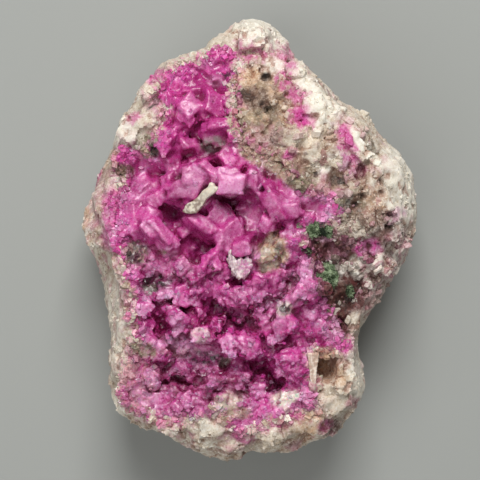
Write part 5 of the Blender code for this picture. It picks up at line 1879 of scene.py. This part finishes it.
@dataclass
class ClearBead:
    """A tiny clear bead of glassy calcite in the lower middle of the crust."""

    x: float = 5.3
    y: float = -10.0
    radius: float = 0.75
    # Its half widths along X, Y and Z, as shares of the radius.
    stretch: tuple[float, float, float] = (1.1, 0.9, 0.75)
    lift: float = 0.2
    tint: tuple[float, float, float, float] = (0.98, 0.93, 0.95, 1.0)
    ior: float = 1.5
    # The clouds on its surface: how many a metre, and the least and the most roughness.
    clouds: float = 2500.0
    clearest: float = 0.02
    dullest: float = 0.16

    def glass(self) -> bpy.types.Material:
        """Make plain clear glass with a slightly cloudy surface.

        Returns:
            The material.
        """
        glass = bpy.data.materials.new("clear calcite")
        glass.use_nodes = True
        surface = glass.node_tree.nodes["Principled BSDF"]
        tree = Shader(glass.node_tree)
        place = tree.node("ShaderNodeTexCoord").outputs["Object"]
        cloud = tree.node("ShaderNodeTexNoise", {"Vector": place, "Scale": self.clouds}).outputs[0]
        dull = tree.ramp(cloud, 0.3, 0.7, self.clearest, self.dullest)
        glass.node_tree.links.new(dull, surface.inputs["Roughness"])
        surface.inputs["Base Color"].default_value = self.tint
        surface.inputs["Transmission Weight"].default_value = 1.0
        surface.inputs["IOR"].default_value = self.ior
        return glass

    def build(self, crust: bpy.types.Object) -> bpy.types.Object:
        """Set a slightly flat ball half into the crust, in plain clear glass.

        Args:
            crust: The finished crust.

        Returns:
            The piece.
        """
        ground = Surroundings()
        ground.include(crust.data)
        seat = ground.drop(self.x, self.y)
        ground.free()
        bm = bmesh.new()
        bmesh.ops.create_icosphere(bm, subdivisions=4, radius=1.0)
        mesh = mesh_of(bm, "ball")
        places = coordinates(mesh) * np.array(self.stretch) * self.radius * MM + np.array(seat)
        move_to(mesh, places + np.array((0, 0, self.lift * MM)))
        mesh.shade_smooth()
        return piece_from(mesh, "clear_bead", self.glass())


class Shader:
    """A material's node tree, or a node group's, with short ways to fill it."""

    def __init__(self, tree: bpy.types.NodeTree) -> None:
        """Work on this tree."""
        self.tree = tree

    def node(self, kind: str, values: dict | None = None, **settings: object) -> bpy.types.Node:
        """Add a node.

        Args:
            kind: Blender's name of the node type.
            values: Socket values or links by socket name or number.
            settings: The node's own properties.

        Returns:
            The node.
        """
        made = self.tree.nodes.new(kind)
        for name, value in settings.items():
            setattr(made, name, value)
        for name, value in (values or {}).items():
            if isinstance(value, bpy.types.NodeSocket):
                self.tree.links.new(value, made.inputs[name])
            else:
                made.inputs[name].default_value = value
        return made

    def times(self, value: bpy.types.NodeSocket, share: bpy.types.NodeSocket) -> bpy.types.NodeSocket:
        """Multiply two values."""
        return self.node("ShaderNodeMath", {0: value, 1: share}, operation="MULTIPLY").outputs[0]

    def mix(self, low: object, high: object, share: object) -> bpy.types.NodeSocket:
        """Mix two colours."""
        values = {MIX_SHARE: share, MIX_LOW: low, MIX_HIGH: high}
        return self.node("ShaderNodeMix", values, data_type="RGBA").outputs[MIX_RESULT]

    def ramp(
        self, value: bpy.types.NodeSocket, low: float, high: float, start: float = 0.0, end: float = 1.0
    ) -> bpy.types.NodeSocket:
        """Map a value from one range to another and hold it there.

        Args:
            value: The value.
            low: One end of its range.
            high: The other end.
            start: What the low end becomes.
            end: What the high end becomes.

        Returns:
            The mapped value's socket.
        """
        return self.node("ShaderNodeMapRange", {0: value, 1: low, 2: high, 3: start, 4: end}).outputs[0]


def sugar_group() -> bpy.types.NodeTree:
    """A node group for sugary crystal surfaces.

    Returns:
        The group. It takes a colour, the powers that its frosty grains (under 1) and its dark ones (over 1)
        raise the colour to, the grains a metre, how strongly they show, and how strongly veins and clouds
        show. It gives the colour, a roughness share and a height.
    """
    group = bpy.data.node_groups.new("sugar grain", "ShaderNodeTree")
    face = group.interface
    face.new_socket("Colour", in_out="INPUT", socket_type="NodeSocketColor")
    for name in ("Frost", "Shade", "Grains", "Strength", "Veins"):
        face.new_socket(name, in_out="INPUT", socket_type="NodeSocketFloat")
    face.new_socket("Colour", in_out="OUTPUT", socket_type="NodeSocketColor")
    face.new_socket("Polish", in_out="OUTPUT", socket_type="NodeSocketFloat")
    face.new_socket("Height", in_out="OUTPUT", socket_type="NodeSocketFloat")
    tree = Shader(group)
    asked = tree.node("NodeGroupInput").outputs
    place = tree.node("ShaderNodeTexCoord").outputs["Object"]
    cells = tree.node("ShaderNodeTexVoronoi", {"Vector": place, "Scale": asked["Grains"]})
    cloud = tree.node("ShaderNodeTexNoise", {"Vector": place, **CLOUDS}).outputs[0]
    tone = tree.node("ShaderNodeSeparateColor", {0: cells.outputs["Color"]})
    pale = tree.node("ShaderNodeGamma", {"Color": asked["Colour"], "Gamma": asked["Frost"]}).outputs[0]
    dark = tree.node("ShaderNodeGamma", {"Color": asked["Colour"], "Gamma": asked["Shade"]}).outputs[0]
    brightness = tree.node("ShaderNodeRGBToBW", {0: asked["Colour"]}).outputs[0]
    fit = tree.ramp(brightness, 0.01, 0.12)
    frosty = tree.times(tree.times(tree.ramp(tone.outputs[0], 0.60, 0.95), asked["Strength"]), fit)
    shady = tree.times(tree.ramp(tone.outputs[1], 0.25, 0.0), asked["Strength"])
    veined = tree.times(tree.times(tree.ramp(cloud, 0.54, 0.70), asked["Veins"]), fit)
    clouded = tree.times(tree.ramp(cloud, 0.46, 0.30), asked["Veins"])
    grained = tree.mix(tree.mix(asked["Colour"], pale, frosty), dark, shady)
    toned = tree.mix(tree.mix(grained, pale, veined), dark, clouded)
    given = tree.node("NodeGroupOutput")
    group.links.new(toned, given.inputs["Colour"])
    group.links.new(tone.outputs[2], given.inputs["Polish"])
    group.links.new(cloud, given.inputs["Height"])
    return group


@dataclass(frozen=True)
class SugarFinish:
    """A granular mineral whose colour comes from the piece's own tint.

    Smooth and rough are the least and the most roughness. Glow is how much light goes into the mineral,
    glow_reach how far each colour of it goes, and glow_scale how far that is in metres.
    """

    name: str
    grains: float
    strength: float
    veins: float
    frost: float
    shade: float
    smooth: float
    rough: float
    bump: float
    bump_strength: float = 0.8
    glow: float = 0.0
    glow_reach: tuple[float, float, float] = (1.0, 0.3, 0.6)
    glow_scale: float = 0.0006
    shine: float = 0.5
    ior: float = 1.55

    def build(self, group: bpy.types.NodeTree) -> bpy.types.Material:
        """Make the material.

        Args:
            group: The node group for sugary surfaces.

        Returns:
            The material.
        """
        made = bpy.data.materials.new(self.name)
        made.use_nodes = True
        tree = Shader(made.node_tree)
        surface = made.node_tree.nodes["Principled BSDF"]
        tint = tree.node("ShaderNodeAttribute", attribute_name=TINT)
        sugar = tree.node("ShaderNodeGroup", node_tree=group)
        made.node_tree.links.new(tint.outputs["Color"], sugar.inputs["Colour"])
        sugar.inputs["Frost"].default_value = self.frost
        sugar.inputs["Shade"].default_value = self.shade
        sugar.inputs["Grains"].default_value = self.grains
        sugar.inputs["Strength"].default_value = self.strength
        sugar.inputs["Veins"].default_value = self.veins
        relief = {"Strength": self.bump_strength, "Distance": self.bump * MM}
        bump = tree.node("ShaderNodeBump", {"Height": sugar.outputs["Height"], **relief})
        gloss = tree.ramp(sugar.outputs["Polish"], 0.0, 1.0, self.smooth, self.rough)
        made.node_tree.links.new(sugar.outputs["Colour"], surface.inputs["Base Color"])
        made.node_tree.links.new(gloss, surface.inputs["Roughness"])
        made.node_tree.links.new(bump.outputs[0], surface.inputs["Normal"])
        surface.inputs["IOR"].default_value = self.ior
        surface.inputs["Specular IOR Level"].default_value = self.shine
        surface.inputs["Subsurface Weight"].default_value = self.glow
        surface.inputs["Subsurface Radius"].default_value = self.glow_reach
        surface.inputs["Subsurface Scale"].default_value = self.glow_scale
        return made


@dataclass(frozen=True)
class SoftLight:
    """A square soft light that faces the specimen. Its place and size are in metres, its power in watts."""

    name: str
    place: tuple[float, float, float]
    power: float
    size: float

    def build(self) -> bpy.types.Object:
        """Put the light in its place.

        Returns:
            The light.
        """
        data = bpy.data.lights.new(self.name, "AREA")
        data.energy = self.power
        data.size = self.size
        lamp = placed(self.name, data)
        lamp.location = self.place
        lamp.rotation_euler = (-Vector(self.place)).to_track_quat("-Z", "Y").to_euler()
        return lamp


@dataclass
class Studio:
    """The floor, the soft lights and the camera over the specimen. The floor's width is in metres."""

    lens: float = 120.0
    sensor_width: float = 36.0
    clip_start: float = 0.01
    floor_width: float = 4.0
    floor_colour: tuple[float, float, float, float] = (0.34, 0.35, 0.33, 1.0)
    floor_roughness: float = 0.8
    lights: tuple[SoftLight, ...] = (
        SoftLight("key light", (0.02, 0.38, 0.48), 3.5, 0.3),
        SoftLight("fill light", (-0.2, -0.16, 0.43), 0.8, 0.4),
    )
    sky_colour: tuple[float, float, float, float] = (1.0, 1.0, 1.0, 1.0)
    sky_strength: float = 0.19

    def floor(self) -> None:
        """Lay a plain pale floor that reaches past every view."""
        bm = bmesh.new()
        bmesh.ops.create_grid(bm, x_segments=2, y_segments=2, size=self.floor_width / 2)
        mesh = mesh_of(bm, "floor")
        finish = bpy.data.materials.new("plain floor")
        finish.use_nodes = True
        surface = finish.node_tree.nodes["Principled BSDF"]
        surface.inputs["Base Color"].default_value = self.floor_colour
        surface.inputs["Roughness"].default_value = self.floor_roughness
        mesh.materials.append(finish)
        placed("floor", mesh)

    def sky(self) -> None:
        """Light the scene evenly from all round."""
        world = bpy.data.worlds.new("studio")
        world.use_nodes = True
        backdrop = world.node_tree.nodes["Background"]
        backdrop.inputs["Color"].default_value = self.sky_colour
        backdrop.inputs["Strength"].default_value = self.sky_strength
        bpy.context.scene.world = world

    def camera(self) -> None:
        """Hang the camera over the specimen, facing straight down."""
        data = bpy.data.cameras.new("camera")
        data.lens = self.lens
        data.sensor_width = self.sensor_width
        data.clip_start = self.clip_start
        camera = placed("camera", data)
        x, y = PLAN_MIDDLE
        camera.location = (x * MM, (y + LAYOUT_Y) * MM, EYE_HEIGHT * MM)
        bpy.context.scene.camera = camera

    def build(self) -> None:
        """Set up the floor, the lights, the sky and the camera."""
        self.floor()
        for light in self.lights:
            light.build()
        self.sky()
        self.camera()


ROCK_FINISH = SugarFinish(
    "sugary matrix", grains=4600.0, strength=0.7, veins=0.75, frost=0.55, shade=1.9, smooth=0.45, rough=0.85,
    bump=0.10,
)
PINK_FINISH = SugarFinish(
    "pink calcite", grains=4800.0, strength=0.65, veins=0.45, frost=0.66, shade=1.5, smooth=0.16, rough=0.42,
    bump=0.05, glow=0.7, glow_reach=(1.0, 0.42, 0.66), glow_scale=0.0009,
)
GREEN_FINISH = SugarFinish(
    "malachite", grains=6500.0, strength=0.9, veins=0.6, frost=0.6, shade=1.4, smooth=0.6, rough=0.9,
    bump=0.06, shine=0.25,
)
WAXY_FINISH = SugarFinish(
    "waxy calcite", grains=3400.0, strength=0.3, veins=0.5, frost=0.7, shade=1.4, smooth=0.25, rough=0.5,
    bump=0.05, glow=0.5, glow_reach=(1.0, 0.7, 0.6),
)

GRAINS = (
    RockGrains("matrix_grains", 3600, 0.16, 0.5, ((0.12, Mineral.WHITE), (0.08, Mineral.BROWN))),
    RockGrains(
        "matrix_blocks", 300, 0.6, 1.4, ((0.2, Mineral.WHITE), (0.14, Mineral.TAN), (0.1, Mineral.ROSE)),
        region=(6.0, 14.0, 12.0), proud=0.04, bevel=0.14, seed=6,
    ),
    RockGrains(
        "matrix_dark_blocks", 620, 0.35, 1.3,
        ((0.07, Mineral.WHITE), (0.25, Mineral.ROSE), (0.25, Mineral.MAROON), (0.15, Mineral.BROWN)),
        region=(16.0, -2.6, 6.0), proud=0.0, bevel=0.14, lean=0.6, mixing=0.5, seed=7,
    ),
)

TUFTS = (
    MalachiteTuft("malachite_tuft_upper", 1100, ((7.6, 2.4, 0.55), (8.1, 1.1, 0.35)), parting=10.9),
    MalachiteTuft("malachite_tuft_lower", 1500, ((12.2, -9.9, 0.6), (8.9, -1.4, 0.5))),
    MalachiteTuft("malachite_tuft_small", 420, parting=14.6),
)

CHIPS = (
    StoneChip(
        "pale_splinter", "pale_calcite", (0.57, 0.49, 0.41), (0.75, 0.68, 0.55), (0.9, 0.7, 0.5), relief=0.04,
        stain=(0.24, 0.16, 0.12), stain_spot=(-8.8, 5.0, 3.4),
    ),
    StoneChip(
        "pale_flake", "pale_calcite", (0.46, 0.33, 0.37), (0.76, 0.66, 0.64), (0.3, 1.6, 0.5), relief=0.26,
        stain=(0.52, 0.16, 0.34), stain_spot=(0.4, -3.4, 3.0),
    ),
    StoneChip(
        "brown_blade", "brown_calcite", (0.52, 0.36, 0.28), (0.86, 0.72, 0.62), (0.3, 3.0, 0.5), relief=0.08
    ),
)


def main() -> None:
    """Build the specimen piece by piece, then the studio."""
    logging.basicConfig(level=logging.INFO, format="%(message)s")
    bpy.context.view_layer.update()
    solids = Surroundings("matrix", "pink_crystal_crust")
    sugar = sugar_group()
    finishes = (ROCK_FINISH, PINK_FINISH, GREEN_FINISH, WAXY_FINISH)
    rock_finish, pink_finish, green_finish, waxy_finish = [finish.build(sugar) for finish in finishes]
    rock = MatrixRock().build(solids, rock_finish)
    for grains in GRAINS:
        grains.build(rock, rock_finish)
    crust = PinkCrust(solids, Surroundings("pink_crystal_crust"), Surroundings("matrix")).build(pink_finish)
    SeamGrains().build(rock, crust, rock_finish)
    PinkDruse().build(crust, pink_finish)
    for tuft in TUFTS:
        tuft.build(solids, green_finish)
    for chip in CHIPS:
        chip.build(waxy_finish)
    CavityShard().build(solids, waxy_finish)
    ClearBead().build(crust)
    Studio().build()
    bpy.context.scene.view_settings.view_transform = "Standard"


if __name__ == "__main__":
    main()
